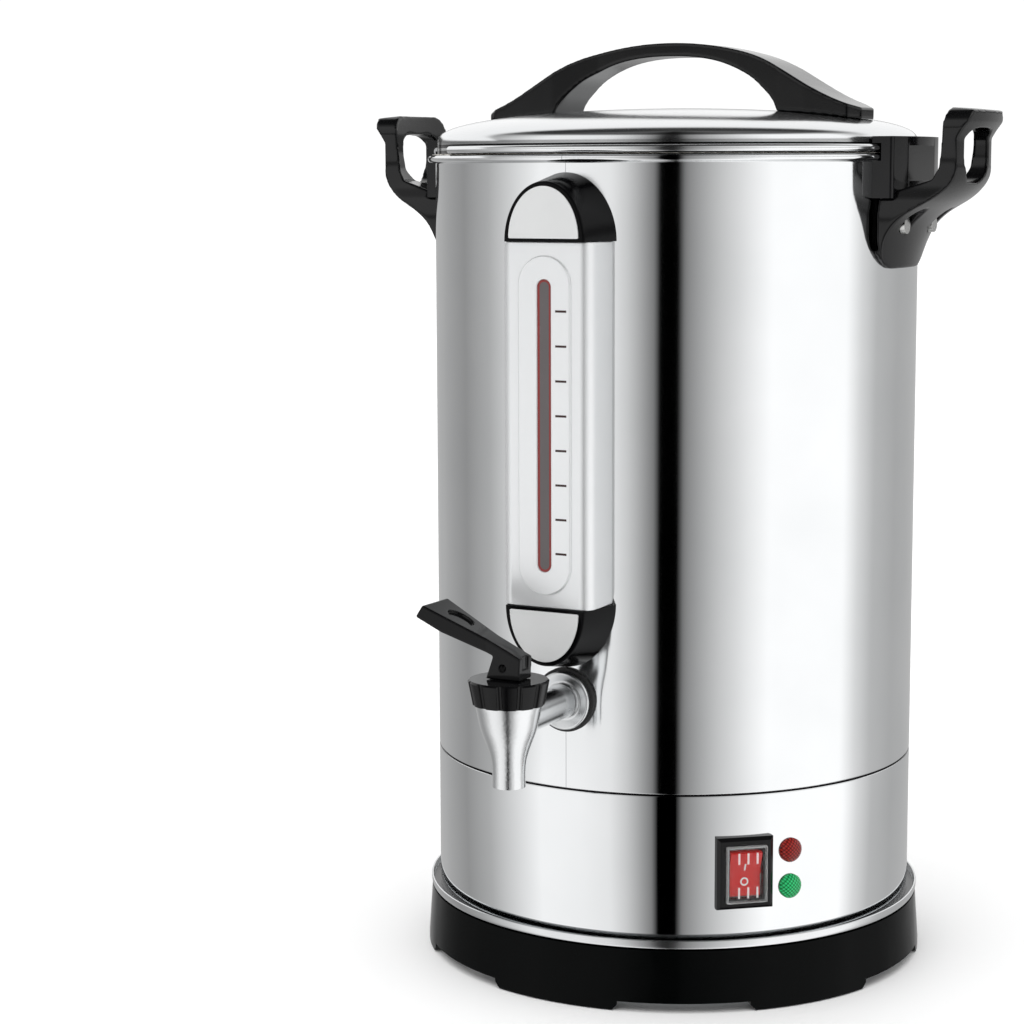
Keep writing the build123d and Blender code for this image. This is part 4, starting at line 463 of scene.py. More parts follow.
def moulding(node, finish, name, edge=0.0, edge_steps=2, voxel=0.0, smooth=6):
    """A node's own shape as one smooth piece, with its sharp edges eased or the whole softened.

    The ease of the edges and the size of the voxels that soften it are in millimetres.
    """
    piece = bpy.data.objects.new(name, frame["nodes"][node].data.copy())
    bpy.context.scene.collection.objects.link(piece)
    pick(piece)
    bpy.ops.object.mode_set(mode="EDIT")
    bpy.ops.mesh.select_all(action="SELECT")
    bpy.ops.mesh.remove_doubles(threshold=MERGE_GAP * MM)
    if edge:
        bpy.ops.mesh.dissolve_limited(angle_limit=radians(FLAT_WITHIN))
    bpy.ops.object.mode_set(mode="OBJECT")
    if voxel:
        remesh = piece.modifiers.new("melt", "REMESH")
        remesh.mode = "VOXEL"
        remesh.voxel_size = voxel * MM
        even = piece.modifiers.new("even", "SMOOTH")
        even.factor = 0.5
        even.iterations = smooth
        for step in ("melt", "even"):
            bpy.ops.object.modifier_apply(modifier=step)
        bpy.ops.object.shade_smooth()
    else:
        if edge:
            bevel = piece.modifiers.new("ease", "BEVEL")
            bevel.width = edge * MM
            bevel.segments = edge_steps
            bevel.limit_method = "ANGLE"
            bevel.angle_limit = radians(EASED_ABOVE)
            bevel.use_clamp_overlap = True
            bpy.ops.object.modifier_apply(modifier="ease")
        bpy.ops.object.shade_smooth_by_angle(angle=radians(SHARP_WHEN_MOULDED))
        weigh = piece.modifiers.new("weigh", "WEIGHTED_NORMAL")
        weigh.keep_sharp = True
        weigh.weight = 80
        bpy.ops.object.modifier_apply(modifier="weigh")
    fit(piece, finish, node)
    return piece


# The base comes glossy from a polished tool and is near black. The pads are matt moulded rubber.
base_black = moulded_plastic(
    "glossy_black_base", ("#030404", "#060707"), (0.05, 0.09), 0.5, 0.03, shine=0.05
)
moulding("base_foot_ring", base_black, "base_ring", edge=0.35, edge_steps=3)
pad_rubber = moulded_plastic("rubber_pad", ("#151514", "#22211F"), (0.7, 0.85), 0.4, 0.6)
for material_slot in frame["nodes"]["foot_pads"].material_slots:
    material_slot.material = pad_rubber

METAL_CLOUD = 6.0


def metal(name, colour, gloss, grain, depth):
    """Small metal goods: even base colour, with the gloss and the grain that their making leaves."""
    finish, tree, shader, place = new_finish(name, {"Metallic": 1.0})
    cloud, rough = clouded(tree, place, METAL_CLOUD, 5.0, gloss)
    tone = add_node(
        tree, "Mix", {"Factor": cloud, "A": linear(colour[0]), "B": linear(colour[1])}, data_type="RGBA"
    )
    scratch = add_node(tree, "TexNoise", {"Vector": place, "Scale": per_mm(grain), "Detail": 3.0})
    bump = add_node(
        tree, "Bump", {"Height": scratch.outputs["Fac"], "Strength": depth, "Distance": GRAIN_DEPTH * MM}
    )
    tree.links.new(tone.outputs["Result"], shader.inputs["Base Color"])
    tree.links.new(rough, shader.inputs["Roughness"])
    tree.links.new(bump.outputs["Normal"], shader.inputs["Normal"])
    return finish


# Rolled sheet keeps a grey, clouded zinc. Barrel-plated screws come out brighter and whiter.
plate_finish = metal("zinc_plated_sheet", ("#8E9093", "#B3B5B6"), (0.35, 0.5), 1.5, 0.3)
screw_finish = metal("plated_screw", ("#C4C4C2", "#DDDDDB"), (0.2, 0.32), 0.6, 0.2)
moulding("bottom_plate", plate_finish, "base_plate", edge=0.15)
moulding("bottom_screws", screw_finish, "base_screws", edge=0.2)

# ---------------------------------------------------------------- heater
# Aluminium spreader plate pressed to the tank's floor by a strap on three welded studs, with the
# main and the keep-warm tube elements; a thermostat and a cut-off sit on the floor beside them.

# Cast aluminium is pale and grainy, and the elements' sheath scales brown in the heat. Terminals
# are stamped from yellow brass, phenolic comes dark brown and almost matt, and the wires run in
# a white sleeve of woven glass.
aluminium = metal("cast_aluminium", ("#A9ABAC", "#C2C3C4"), (0.3, 0.45), 0.8, 0.4)
element_steel = metal("scaled_element_tube", ("#4E4A46", "#6D675F"), (0.4, 0.55), 0.5, 0.4)
brass = metal("brass_terminal", ("#B08D4A", "#C9A55C"), (0.25, 0.4), 0.5, 0.2)
phenolic = moulded_plastic("brown_phenolic", ("#3A2417", "#4B3021"), (0.35, 0.5), 0.6, 0.5)
wire_sleeve = moulded_plastic("white_glass_sleeve", ("#DAD8D2", "#EDEBE6"), (0.55, 0.7), 0.5, 0.6)
for node, finish in (
    ("heating_plate", aluminium),
    ("heating_element", element_steel),
    ("warm_element", element_steel),
    ("element_clamp", plate_finish),
    ("clamp_nuts", screw_finish),
    ("thermostat", phenolic),
    ("thermal_cutoff", phenolic),
    ("wiring", wire_sleeve),
):
    moulding(node, finish, node + "_part")

# ---------------------------------------------------------------- switch, lamps and mains inlet
# Snap-in rocker switch: black nylon bezel, red rocker and a clear ribbed splash cover. Two press-fit
# neon lamps with faceted lenses stand beside it, and the appliance inlet is screwed on at the back.

# Nylon from a polished tool is smooth and black, and the rocker is translucent red. The rocker has a
# faint painted glow: emission that brightens it where the clear cover holds the light back.
switch_black = moulded_plastic(
    "switch_black_nylon", ("#060607", "#0D0D0E"), (0.08, 0.14), 0.4, 0.05, shine=0.25
)
rocker_red = moulded_plastic("rocker_red", ("#B40D0A", "#C8140F"), (0.2, 0.26), 0.4, 0.08)
# Painted glow: a little red emission lights the rocker, though no lamp is behind it.
rocker_glow_shader = rocker_red.node_tree.nodes["Principled BSDF"]
rocker_glow_shader.inputs["Emission Color"].default_value = linear("#E01B10")
rocker_glow_shader.inputs["Emission Strength"].default_value = 0.12
moulding("switch_bezel", switch_black, "switch_frame", edge=0.3)
moulding("rocker", rocker_red, "rocker_key", edge=0.25)
moulding("inlet_housing", switch_black, "inlet_socket", edge=0.3)
for node, finish in (("switch_blades", brass), ("inlet_pins", brass), ("inlet_screws", screw_finish)):
    moulding(node, finish, node + "_part", edge=0.15)
moulding("lamp_holders", switch_black, "lamp_barrels")

SWITCH_ANGLE = 41.0
COVER_FACE = 119.7
COVER_RIB = 0.15
COVER_HALF_WIDTH = 9.2
COVER_HALF_HEIGHT = 12.7
COVER_RIM = 0.45
COVER_RIM_SHARE = 0.4
FILM_CLOUD = 5.0
MILKY_ROUGHNESS = 0.5
MILKY_CLEARNESS = 0.45
SWITCH_HEIGHT = 62.5
switch_out = Vector((sin(radians(SWITCH_ANGLE)), -cos(radians(SWITCH_ANGLE)), 0))
switch_side = Vector((cos(radians(SWITCH_ANGLE)), sin(radians(SWITCH_ANGLE)), 0))

# Soft PVC is blown clear, and turns milky where it is thick: on its ribs and round its rim.
clear_cover, tree, shader, place = new_finish(
    "clear_pvc_cover", {"IOR": 1.22, "Base Color": linear("#FBFCFC")}
)
film_gloss = clouded(tree, place, FILM_CLOUD, 3.0, (0.0, 0.03))[1]
depth = add_node(tree, "VectorMath", {0: place, 1: switch_out}, operation="DOT_PRODUCT")
rim = add_node(
    tree, "Math", {0: depth.outputs["Value"], 1: (COVER_FACE + COVER_RIB) * MM}, operation="GREATER_THAN"
)
for direction, middle, reach in (
    (switch_side, 0, COVER_HALF_WIDTH - COVER_RIM),
    ((0, 0, 1), SWITCH_HEIGHT, COVER_HALF_HEIGHT - COVER_RIM),
):
    along = add_node(tree, "VectorMath", {0: place, 1: direction}, operation="DOT_PRODUCT")
    for border, operation in ((middle - reach, "LESS_THAN"), (middle + reach, "GREATER_THAN")):
        beyond = add_node(tree, "Math", {0: along.outputs["Value"], 1: border * MM}, operation=operation)
        faint = add_node(
            tree, "Math", {0: beyond.outputs["Value"], 1: COVER_RIM_SHARE}, operation="MULTIPLY"
        )
        rim = add_node(
            tree, "Math", {0: rim.outputs["Value"], 1: faint.outputs["Value"]}, operation="MAXIMUM"
        )
frost = add_node(
    tree, "Mix", {"Factor": rim.outputs["Value"], "A": film_gloss, "B": MILKY_ROUGHNESS}, data_type="FLOAT"
)
clearness = add_node(
    tree, "Mix", {"Factor": rim.outputs["Value"], "A": 1.0, "B": MILKY_CLEARNESS}, data_type="FLOAT"
)
tree.links.new(frost.outputs["Result"], shader.inputs["Roughness"])
tree.links.new(clearness.outputs["Result"], shader.inputs["Transmission Weight"])
moulding("switch_cover", clear_cover, "splash_cover", edge=0.3, edge_steps=3)

# The marks are pad printed on the rocker's two faces in flat white: a bar for on above, a ring for
# off below. A place on the rocker is its distance from the tank's axis and its height.
ROCKER_TOP = (117.72, 71.94)
ROCKER_RIDGE = (113.78, 62.27)
ROCKER_FOOT = (114.18, 51.85)
MARK_INK = 0.06
ON_BAR_WIDTH = 0.7
ON_BAR_HEIGHT = 3.6
OFF_RING_RADIUS = 1.55
OFF_RING_LINE = 0.7
mark_white = moulded_plastic("white_pad_print", ("#E8E8E6", "#F4F4F2"), (0.4, 0.5), 0.3, 0.1)
for name, low, high, share in (
    ("on_mark", ROCKER_RIDGE, ROCKER_TOP, 0.3),
    ("off_mark", ROCKER_FOOT, ROCKER_RIDGE, 0.62),
):
    along = Vector((high[0] - low[0], high[1] - low[1])).normalized()
    middle = Vector(low) + (Vector(high) - Vector(low)) * share
    bpy.ops.object.select_all(action="DESELECT")
    if name == "on_mark":
        bpy.ops.mesh.primitive_cube_add(size=1)
    else:
        bpy.ops.mesh.primitive_torus_add(
            major_radius=OFF_RING_RADIUS * MM,
            minor_radius=OFF_RING_LINE / 2 * MM,
            major_segments=48,
            minor_segments=10,
        )
    mark = bpy.context.object
    mark.name = name
    bpy.ops.object.mode_set(mode="EDIT")
    bpy.ops.mesh.select_all(action="SELECT")
    if name == "on_mark":
        bpy.ops.transform.resize(value=(ON_BAR_WIDTH * MM, MARK_INK * MM, ON_BAR_HEIGHT * MM))
    else:
        bpy.ops.transform.resize(value=(1, 1, MARK_INK / OFF_RING_LINE))
        bpy.ops.transform.rotate(value=pi / 2, orient_axis="X", center_override=(0, 0, 0))
    bpy.ops.object.mode_set(mode="OBJECT")
    lean = atan2(along.x, along.y)
    raised = middle + Vector((along.y, -along.x)) * MARK_INK
    for vertex in mark.data.vertices:
        across, depth, up = vertex.co
        reach = raised.x * MM - depth * cos(lean) + up * sin(lean)
        height = raised.y * MM + depth * sin(lean) + up * cos(lean)
        vertex.co = switch_out * reach + switch_side * across + Vector((0, 0, height))
    mark.data.materials.append(mark_white)
    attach(mark, frame["nodes"]["rocker"]["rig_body"])

LAMP_ANGLE = 52.4
LENS_FACET = 1.2
FACET_DEPTH = 0.4


def lamp_lens(name, colour, glow):
    """Tinted lens over a neon lamp: small diamond facets moulded inside break up the light."""
    finish, tree, shader, place = new_finish(
        name,
        {
            "IOR": 1.49,
            "Roughness": 0.25,
            "Specular IOR Level": 0.2,
            "Coat Weight": 0.25,
            "Coat Roughness": 0.03,
            "Emission Strength": 0.12,
        },
    )
    facing = add_node(tree, "Mapping", {"Vector": place, "Rotation": (0, 0, radians(-LAMP_ANGLE))})
    tilted = add_node(
        tree,
        "Mapping",
        {"Vector": facing.outputs["Vector"], "Rotation": (0, radians(45), 0), "Scale": (1, 0, 1)},
    )
    facets = add_node(
        tree,
        "TexVoronoi",
        {"Vector": tilted.outputs["Vector"], "Scale": per_mm(LENS_FACET), "Randomness": 0.0},
        feature="F1",
    )
    spread = add_node(
        tree,
        "MapRange",
        {
            "Value": facets.outputs["Distance"],
            "From Min": 0.2,
            "From Max": 0.55,
            "To Min": 1.0,
            "To Max": 0.0,
        },
    )
    tone = add_node(
        tree,
        "Mix",
        {"Factor": spread.outputs["Result"], "A": linear(colour), "B": linear(glow)},
        data_type="RGBA",
    )
    bump = add_node(
        tree, "Bump", {"Height": facets.outputs["Distance"], "Strength": 0.8, "Distance": FACET_DEPTH * MM}
    )
    tree.links.new(tone.outputs["Result"], shader.inputs["Base Color"])
    tree.links.new(tone.outputs["Result"], shader.inputs["Emission Color"])
    tree.links.new(bump.outputs["Normal"], shader.inputs["Normal"])
    return finish


moulding("lamp_red", lamp_lens("red_lamp_lens", "#4C0605", "#96261F"), "heating_lamp")
moulding("lamp_green", lamp_lens("green_lamp_lens", "#006430", "#2CBE72"), "keep_warm_lamp")

# ---------------------------------------------------------------- tap
# Polished tap screwed through the wall on a washer plate: a cross pipe meets a bell-shaped valve
# body. The black fluted bonnet holds a spring-loaded stem with a silicone cup, lifted by the lever.

# The tap's castings are belt polished to a satin, and the washer plate, pressed from sheet, is the
# softest. Nylon comes smooth and black, silicone milky, and wire bright from the drawing die.
tap_steel = polished_steel("satin_tap", "#D6D8D9", (0.17, 0.23))
washer_steel = polished_steel("satin_washer", "#D0D2D3", (0.26, 0.34))
tap_black = moulded_plastic(
    "black_tap_nylon", ("#060607", "#0D0D0E"), (0.08, 0.13), 0.45, 0.04, shine=0.22
)
silicone = moulded_plastic("translucent_silicone", ("#C9C6BE", "#DAD7D0"), (0.45, 0.6), 0.8, 0.2)
spring_steel = metal("spring_wire", ("#A7A7A6", "#C3C3C1"), (0.2, 0.3), 0.4, 0.2)
gasket_black = moulded_plastic("black_gasket_rubber", ("#1C1C1C", "#262626"), (0.5, 0.6), 0.6, 0.2)
blackened_pin = metal("blackened_pin", ("#151515", "#222222"), (0.3, 0.4), 0.4, 0.2)
moulding("tap_body", tap_steel, "tap_valve_body", edge=0.25, edge_steps=3)

# The washer plate is turned with a rounded rim and a dish that runs out smoothly to the pipe.
PIPE_HEIGHT = 138.3
PIPE_RADIUS = 7.6
FLANGE_BACK = 114.6
FLANGE_RADIUS = 13.0
FLANGE_RIM = 2.5
FLANGE_DISH = 1.5
HUB_WALL = 0.15
HUB_DEPTH = 3.8
flange_section = [
    (PIPE_RADIUS, 0, 0),
    (FLANGE_RADIUS, 0, 0.3),
    (FLANGE_RADIUS, FLANGE_RIM, 0.9),
    (FLANGE_RADIUS - 1.0, FLANGE_RIM + 0.2, 0.4),
    (PIPE_RADIUS + HUB_WALL + 0.75, FLANGE_DISH, 1.4),
    (PIPE_RADIUS + HUB_WALL, FLANGE_DISH + 0.6, 0.4),
    (PIPE_RADIUS + HUB_WALL, HUB_DEPTH, 0),
    (PIPE_RADIUS, HUB_DEPTH, 0),
]
flange = turned("tap_washer_plate", flange_section, segments=128)
for vertex in flange.data.vertices:
    across, up, forward = vertex.co
    vertex.co = (across, -forward - FLANGE_BACK * MM, up + PIPE_HEIGHT * MM)
fit(flange, washer_steel, "tap_flange")
moulding("tap_bonnet", tap_black, "bonnet_nut", edge=0.3)
moulding("tap_lever", tap_black, "lever_arm", voxel=0.3, smooth=5)
moulding("tap_nut", tap_steel, "tap_back_nut", edge=0.25)
for node, finish in (
    ("tap_gaskets", gasket_black),
    ("tap_seat_cup", silicone),
    ("tap_stem", spring_steel),
    ("lever_pin", blackened_pin),
):
    moulding(node, finish, node + "_part")

# The spring sits against the neck of the body, where the cup presses on it from below; it gets a mesh of its
# own.
spring = moulding("tap_spring", spring_steel, "tap_coil_spring")
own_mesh(spring)

# ---------------------------------------------------------------- sight gauge
# Glass tube between two plastic elbows, behind a silver-sprayed cover with a long slot; black caps
# with pale badges close the cover's ends. The raised oval round the slot carries printed ticks.

# The cover's silver is sprayed over ABS and shines softly; the caps are left bare and black from a
# polished tool. Badges and elbows are plain grey mouldings.
cover_silver = moulded_plastic(
    "silver_sprayed_abs", ("#E3E5E6", "#E9EAEB"), (0.28, 0.31), 0.35, 0.05, coat=0.3, flake=0.6
)
cap_black = moulded_plastic("black_cap_abs", ("#040405", "#080809"), (0.1, 0.15), 0.4, 0.05, shine=0.08)
badge_grey = moulded_plastic("pale_grey_badge", ("#CBCCCC", "#D3D4D4"), (0.32, 0.36), 0.35, 0.08)
fitting_grey = moulded_plastic("grey_elbow", ("#55575A", "#65676A"), (0.35, 0.45), 0.5, 0.3)
moulding("gauge_housing", cover_silver, "gauge_cover", edge=0.55, edge_steps=4)
for end in ("top", "bottom"):
    moulding(f"gauge_{end}_cap", cap_black, f"gauge_cap_{end}", edge=0.3)
    moulding(f"gauge_badge_{end}", badge_grey, f"gauge_badge_plate_{end}")
    moulding(f"gauge_{end}_fitting", fitting_grey, f"gauge_elbow_{end}")
moulding("gauge_nuts", fitting_grey, "gauge_back_nuts", edge=0.2)
moulding("gauge_seals", silicone, "gauge_ring_seals")

# The water column and the bead along the glass show as a dark core with a dark red edge.
TUBE_HALF = 4.0
TUBE_STREAK = 9.0
tube_finish, tree, shader, place = new_finish(
    "sight_tube_glass", {"IOR": 1.5, "Coat Weight": 1.0, "Coat Roughness": 0.03}
)
split = add_node(tree, "SeparateXYZ", {"Vector": place})
aside = add_node(tree, "Math", {0: split.outputs["X"]}, operation="ABSOLUTE")
to_edge = add_node(tree, "Math", {0: aside.outputs["Value"], 1: per_mm(TUBE_HALF)}, operation="MULTIPLY")
stripe = add_node(tree, "ValToRGB", {"Fac": to_edge.outputs["Value"]})
for element, (position, colour) in zip(stripe.color_ramp.elements, ((0.45, "#3C3B3D"), (0.6, "#4E1512"))):
    element.position = position
    element.color = linear(colour)
tube_gloss = clouded(tree, place, TUBE_STREAK, 3.0, (0.08, 0.2))[1]
tree.links.new(stripe.outputs["Color"], shader.inputs["Base Color"])
tree.links.new(tube_gloss, shader.inputs["Roughness"])
moulding("gauge_tube", tube_finish, "sight_tube")

# The tube shows through the slot behind a window of smoked acrylic, which is dark and half glossy
# and has a dark red border.
COVER_FRONT = 133.5
GAUGE_MIDDLE = 261.5
SLOT_HALF_WIDTH = 3.3
SLOT_HALF_HEIGHT = 63.2
WINDOW_DEPTH = 0.9
WINDOW_THICK = 0.5
RED_BORDER = 1.1
SMOKE_CLOUD = 14.0
window_finish, tree, shader, place = new_finish(
    "smoked_window",
    {"IOR": 1.5, "Coat Weight": 0.6, "Coat Roughness": 0.05, "Specular IOR Level": 0.3},
)
split = add_node(tree, "SeparateXYZ", {"Vector": place})
aside = add_node(tree, "Math", {0: split.outputs["X"]}, operation="ABSOLUTE")
from_middle = add_node(tree, "Math", {0: split.outputs["Z"], 1: GAUGE_MIDDLE * MM}, operation="SUBTRACT")
height = add_node(tree, "Math", {0: from_middle.outputs["Value"]}, operation="ABSOLUTE")
over = add_node(
    tree,
    "Math",
    {0: height.outputs["Value"], 1: (SLOT_HALF_HEIGHT - SLOT_HALF_WIDTH) * MM},
    operation="SUBTRACT",
)
end = add_node(tree, "Math", {0: over.outputs["Value"], 1: 0.0}, operation="MAXIMUM")
offset = add_node(tree, "CombineXYZ", {"X": aside.outputs["Value"], "Y": end.outputs["Value"]})
reach = add_node(tree, "VectorMath", {0: offset.outputs["Vector"]}, operation="LENGTH")
border = add_node(
    tree,
    "MapRange",
    {
        "Value": reach.outputs["Value"],
        "From Min": (SLOT_HALF_WIDTH - RED_BORDER - 0.1) * MM,
        "From Max": (SLOT_HALF_WIDTH - RED_BORDER + 0.1) * MM,
        "To Min": 0.0,
        "To Max": 1.0,
    },
)
smoke, window_gloss = clouded(tree, place, SMOKE_CLOUD, 3.0, (0.24, 0.28), span=(0.2, 0.8))
core = add_node(
    tree, "Mix", {"Factor": smoke, "A": linear("#4E4949"), "B": linear("#565051")}, data_type="RGBA"
)
shown = add_node(
    tree,
    "Mix",
    {"Factor": border.outputs["Result"], "A": core.outputs["Result"], "B": linear("#7A1512")},
    data_type="RGBA",
)
tree.links.new(shown.outputs["Result"], shader.inputs["Base Color"])
tree.links.new(window_gloss, shader.inputs["Roughness"])

bpy.ops.object.select_all(action="DESELECT")
bpy.ops.mesh.primitive_cylinder_add(
    vertices=64, radius=SLOT_HALF_WIDTH * MM, depth=WINDOW_THICK * MM, rotation=(pi / 2, 0, 0)
)
window = bpy.context.object
bpy.ops.object.transform_apply(location=True, rotation=True, scale=True)
window.name = "gauge_window"
for vertex in window.data.vertices:
    way = 1 if vertex.co.z > 0 else -1
    vertex.co.y -= (COVER_FRONT - WINDOW_DEPTH) * MM
    vertex.co.z += GAUGE_MIDDLE * MM + way * (SLOT_HALF_HEIGHT - SLOT_HALF_WIDTH) * MM
window.data.materials.append(window_finish)
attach(window, frame["nodes"]["gauge_housing"]["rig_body"])

# The ticks beside the slot are screen printed in a flat dark brown, and their ink stands a little
# proud of the cover.
TICKS = 8
TICK_TOP = 311.2
TICK_STEP = 14.93
TICK_MIDDLE = 8.25
TICK_LENGTH = 5.3
TICK_HEIGHT = 0.95
tick_ink = moulded_plastic("dark_screen_print", ("#2A1413", "#361C1B"), (0.4, 0.5), 0.3, 0.1)
marks = []
for step in range(TICKS):
    bpy.ops.object.select_all(action="DESELECT")
    bpy.ops.mesh.primitive_cube_add(size=1)
    mark = bpy.context.object
    mark.name = f"gauge_tick_{step}"
    for vertex in mark.data.vertices:
        vertex.co.x = (TICK_MIDDLE + vertex.co.x * TICK_LENGTH) * MM
        vertex.co.y = (vertex.co.y * 2 * MARK_INK - COVER_FRONT) * MM
        vertex.co.z = (TICK_TOP - step * TICK_STEP + vertex.co.z * TICK_HEIGHT) * MM
    mark.data.materials.append(tick_ink)
    marks.append(mark)
pick(*marks)
bpy.ops.object.join()
ticks = bpy.context.object
ticks.name = "gauge_ticks"
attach(ticks, frame["nodes"]["gauge_housing"]["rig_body"])

# ---------------------------------------------------------------- side handles
# Each handle is one satin-black nylon moulding: an arm that turns up into a wide grip with a finger
# hole, screwed to bosses on the wall over a glossy bracket that hooks round the rim.

# Both come from the same glass-filled nylon: the grips from a finely blasted tool, which leaves a
# satin, and the brackets from a polished one.
handle_black = moulded_plastic(
    "satin_black_nylon", ("#050506", "#0A0A0B"), (0.12, 0.17), 0.45, 0.1, shine=0.36
)
bracket_black = moulded_plastic(
    "glossy_black_bracket", ("#060607", "#0C0C0E"), (0.08, 0.14), 0.45, 0.05, shine=0.35
)
for side in ("left", "right"):
    moulding(f"bracket_{side}", bracket_black, f"rim_bracket_{side}", edge=0.4, edge_steps=3)
    moulding(f"handle_{side}", handle_black, f"side_grip_{side}", voxel=0.6)
    moulding(f"handle_screws_{side}", screw_finish, f"grip_screws_{side}", edge=0.25)

# ---------------------------------------------------------------- lid
# Shallow dome pressed from polished sheet with a rolled bead, notched at both sides so that it
# drops past the brackets and locks under them; the arched black handle is screwed from inside.
LID_CROWN = 399.0
LID_SHOULDER = 383.5
LID_BAND_RADIUS = 112.0
LID_BOTTOM = 378.2
NOTCH_HALF = 17.5
DOME_POWER = 1.85
DOME_LIFT = 0.39


def dome_line(band, crown, steps=40):
    """Corners along the dome from its crown down to its shoulder."""
    rise = crown - LID_SHOULDER
    line = []
    for step in range(steps + 1):
        share = sin(step / steps * pi / 2)
        line.append((share * band, LID_SHOULDER + rise * (1 - share**DOME_POWER) ** DOME_LIFT, 0))
    return line


band_inside = LID_BAND_RADIUS - SHEET
lid_section = [
    *dome_line(LID_BAND_RADIUS, LID_CROWN),
    (LID_BAND_RADIUS, LID_BOTTOM, 0.2),
    (band_inside, LID_BOTTOM, 0.2),
    *reversed(dome_line(band_inside, LID_CROWN - SHEET)),
]
lid = turned("lid_dome", lid_section)
bead_inside = LID_BAND_RADIUS - 0.5
bead_section = [
    (bead_inside, LID_BOTTOM, 0),
    (RIM_BEAD_RADIUS, LID_BOTTOM, BEAD_EASE),
    (RIM_BEAD_RADIUS, LID_BOTTOM + RIM_BEAD_HEIGHT, BEAD_EASE),
    (bead_inside, LID_BOTTOM + RIM_BEAD_HEIGHT, 0),
]
beads = [
    turned(f"lid_bead_{side}", bead_section, start=first, sweep=180 - 2 * NOTCH_HALF, segments=110)
    for side, first in (("back", NOTCH_HALF), ("front", 180 + NOTCH_HALF))
]
pick(lid, *beads)
bpy.ops.object.join()

# The dome is polished after pressing and is a little softer than the tank. Above and below its bead
# the sheet is darkened with painted shade.
lid_finish = polished_steel(
    "satin_polished_lid",
    "#E1E3E4",
    (0.12, 0.16),
    shade_bands=[
        (RIM_BEAD_RADIUS - BEAD_CREASE, LID_BOTTOM - 1, LID_BOTTOM + 1.7),
        (LID_BAND_RADIUS + 1.2, LID_BOTTOM + 2.8, LID_BOTTOM + 4.3),
    ],
)
fit(lid, lid_finish, "lid_shell")
moulding("lid_handle", handle_black, "lid_grip", voxel=0.6)
moulding("lid_handle_screws", screw_finish, "lid_grip_screws", edge=0.25)
gasket = moulding("lid_gasket", silicone, "lid_seal_ring")

# The soft ring is a hair thinner than its seat, so that it lies on the shell without cutting it.
GASKET_EASE = 0.02
for vertex in gasket.data.vertices:
    vertex.co -= vertex.normal * GASKET_EASE * MM

# ---------------------------------------------------------------- percolator
# Spun aluminium basket on a steel pump stem with a bell foot; the spreader disc on top is pressed
# down on the basket's sleeve by a short spring.

# Spun aluminium is satin with wandering patches, and the tube comes clean from the drawing die.
basket_finish = polished_steel("satin_basket", "#D0D1D2", (0.16, 0.26))
stem_finish = metal("drawn_stem_tube", ("#BDBDBC", "#D4D4D2"), (0.15, 0.25), 0.8, 0.15)
moulding("basket", basket_finish, "coffee_basket")
for node in ("stem_tube", "foot_cup", "spreader_disc"):
    moulding(node, stem_finish, node + "_part")

# The spring sits under the spreader disc, where the basket's sleeve presses on it from below; it gets a mesh
# of its own.
spring = moulding("stem_spring", stem_finish, "stem_coil_spring")
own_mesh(spring)

# ---------------------------------------------------------------- studio
# A white table and background under one soft sky: a broad soft box to each side of the camera,
# a narrow black card in front of it and mid-grey walls behind.
CAMERA_AZIMUTH = 24.831
SKY_GAIN = 1.2
BACKDROP_GAIN = 1.05
PAPER_LIGHT = 0.86
PAPER_LEAN = (115, 130)
PAPER_RISE = (0.05, 0.13)
# Light of the walls by the angle in degrees to the right of the camera.
SKY_STOPS = {
    -180: 0.40,
    -150: 0.38,
    -119: 0.27,
    -99: 0.40,
    -84: 0.62,
    -66: 0.9,
    -44: 0.86,
    -30: 0.78,
    -22: 0.58,
    -14: 0.32,
    -8.6: 0.16,
    -8.2: 0.0,
    2.6: 0.0,
    3.0: 0.13,
    6: 0.24,
    13: 0.38,
    21: 0.54,
    29: 0.68,
    37: 0.84,
    46: 1.0,
    88: 1.0,
    98: 0.68,
    110: 0.46,
    130: 0.38,
    180: 0.42,
}
# Share of the walls' light by height (the sine of the elevation): the boxes stop below the horizon
# line, start again above it and end under a dark ceiling.
HEIGHT_STOPS = {-1.0: 1.0, 0.0: 1.0, 0.03: 0.35, 0.1: 0.35, 0.18: 0.95, 0.6: 0.95, 0.8: 0.1, 1.0: 0.1}

world = bpy.data.worlds.new("studio")
bpy.context.scene.world = world
world.use_nodes = True
tree = world.node_tree
tree.nodes.clear()
toward = add_node(tree, "TexCoord").outputs["Generated"]
turn = add_node(tree, "Mapping", {"Vector": toward, "Rotation": (0, 0, radians(90 - CAMERA_AZIMUTH))})
parts = add_node(tree, "SeparateXYZ", {"Vector": turn.outputs["Vector"]})
azimuth = add_node(tree, "Math", {0: parts.outputs["Y"], 1: parts.outputs["X"]}, operation="ARCTAN2")
full_turn = {"From Min": -pi, "From Max": pi, "To Min": 0.0, "To Max": 1.0}
full_rise = {"From Min": -1.0, "From Max": 1.0, "To Min": 0.0, "To Max": 1.0}
shares = []
for value, span, stops, lowest, whole in (
    (azimuth.outputs["Value"], full_turn, SKY_STOPS, -180, 360),
    (parts.outputs["Z"], full_rise, HEIGHT_STOPS, -1, 2),
):
    share = add_node(tree, "MapRange", {"Value": value, **span})
    ramp_node = add_node(tree, "ValToRGB", {"Fac": share.outputs["Result"]})
    ramp = ramp_node.color_ramp
    while len(ramp.elements) < len(stops):
        ramp.elements.new(0.5)
    for element, (stop, light) in zip(ramp.elements, sorted(stops.items())):
        element.position = (stop - lowest) / whole
        element.color = (light, light, light, 1)
    shares.append(ramp_node.outputs["Color"])
room = add_node(
    tree, "Mix", {"Factor": 1.0, "A": shares[0], "B": shares[1]}, data_type="RGBA", blend_type="MULTIPLY"
)

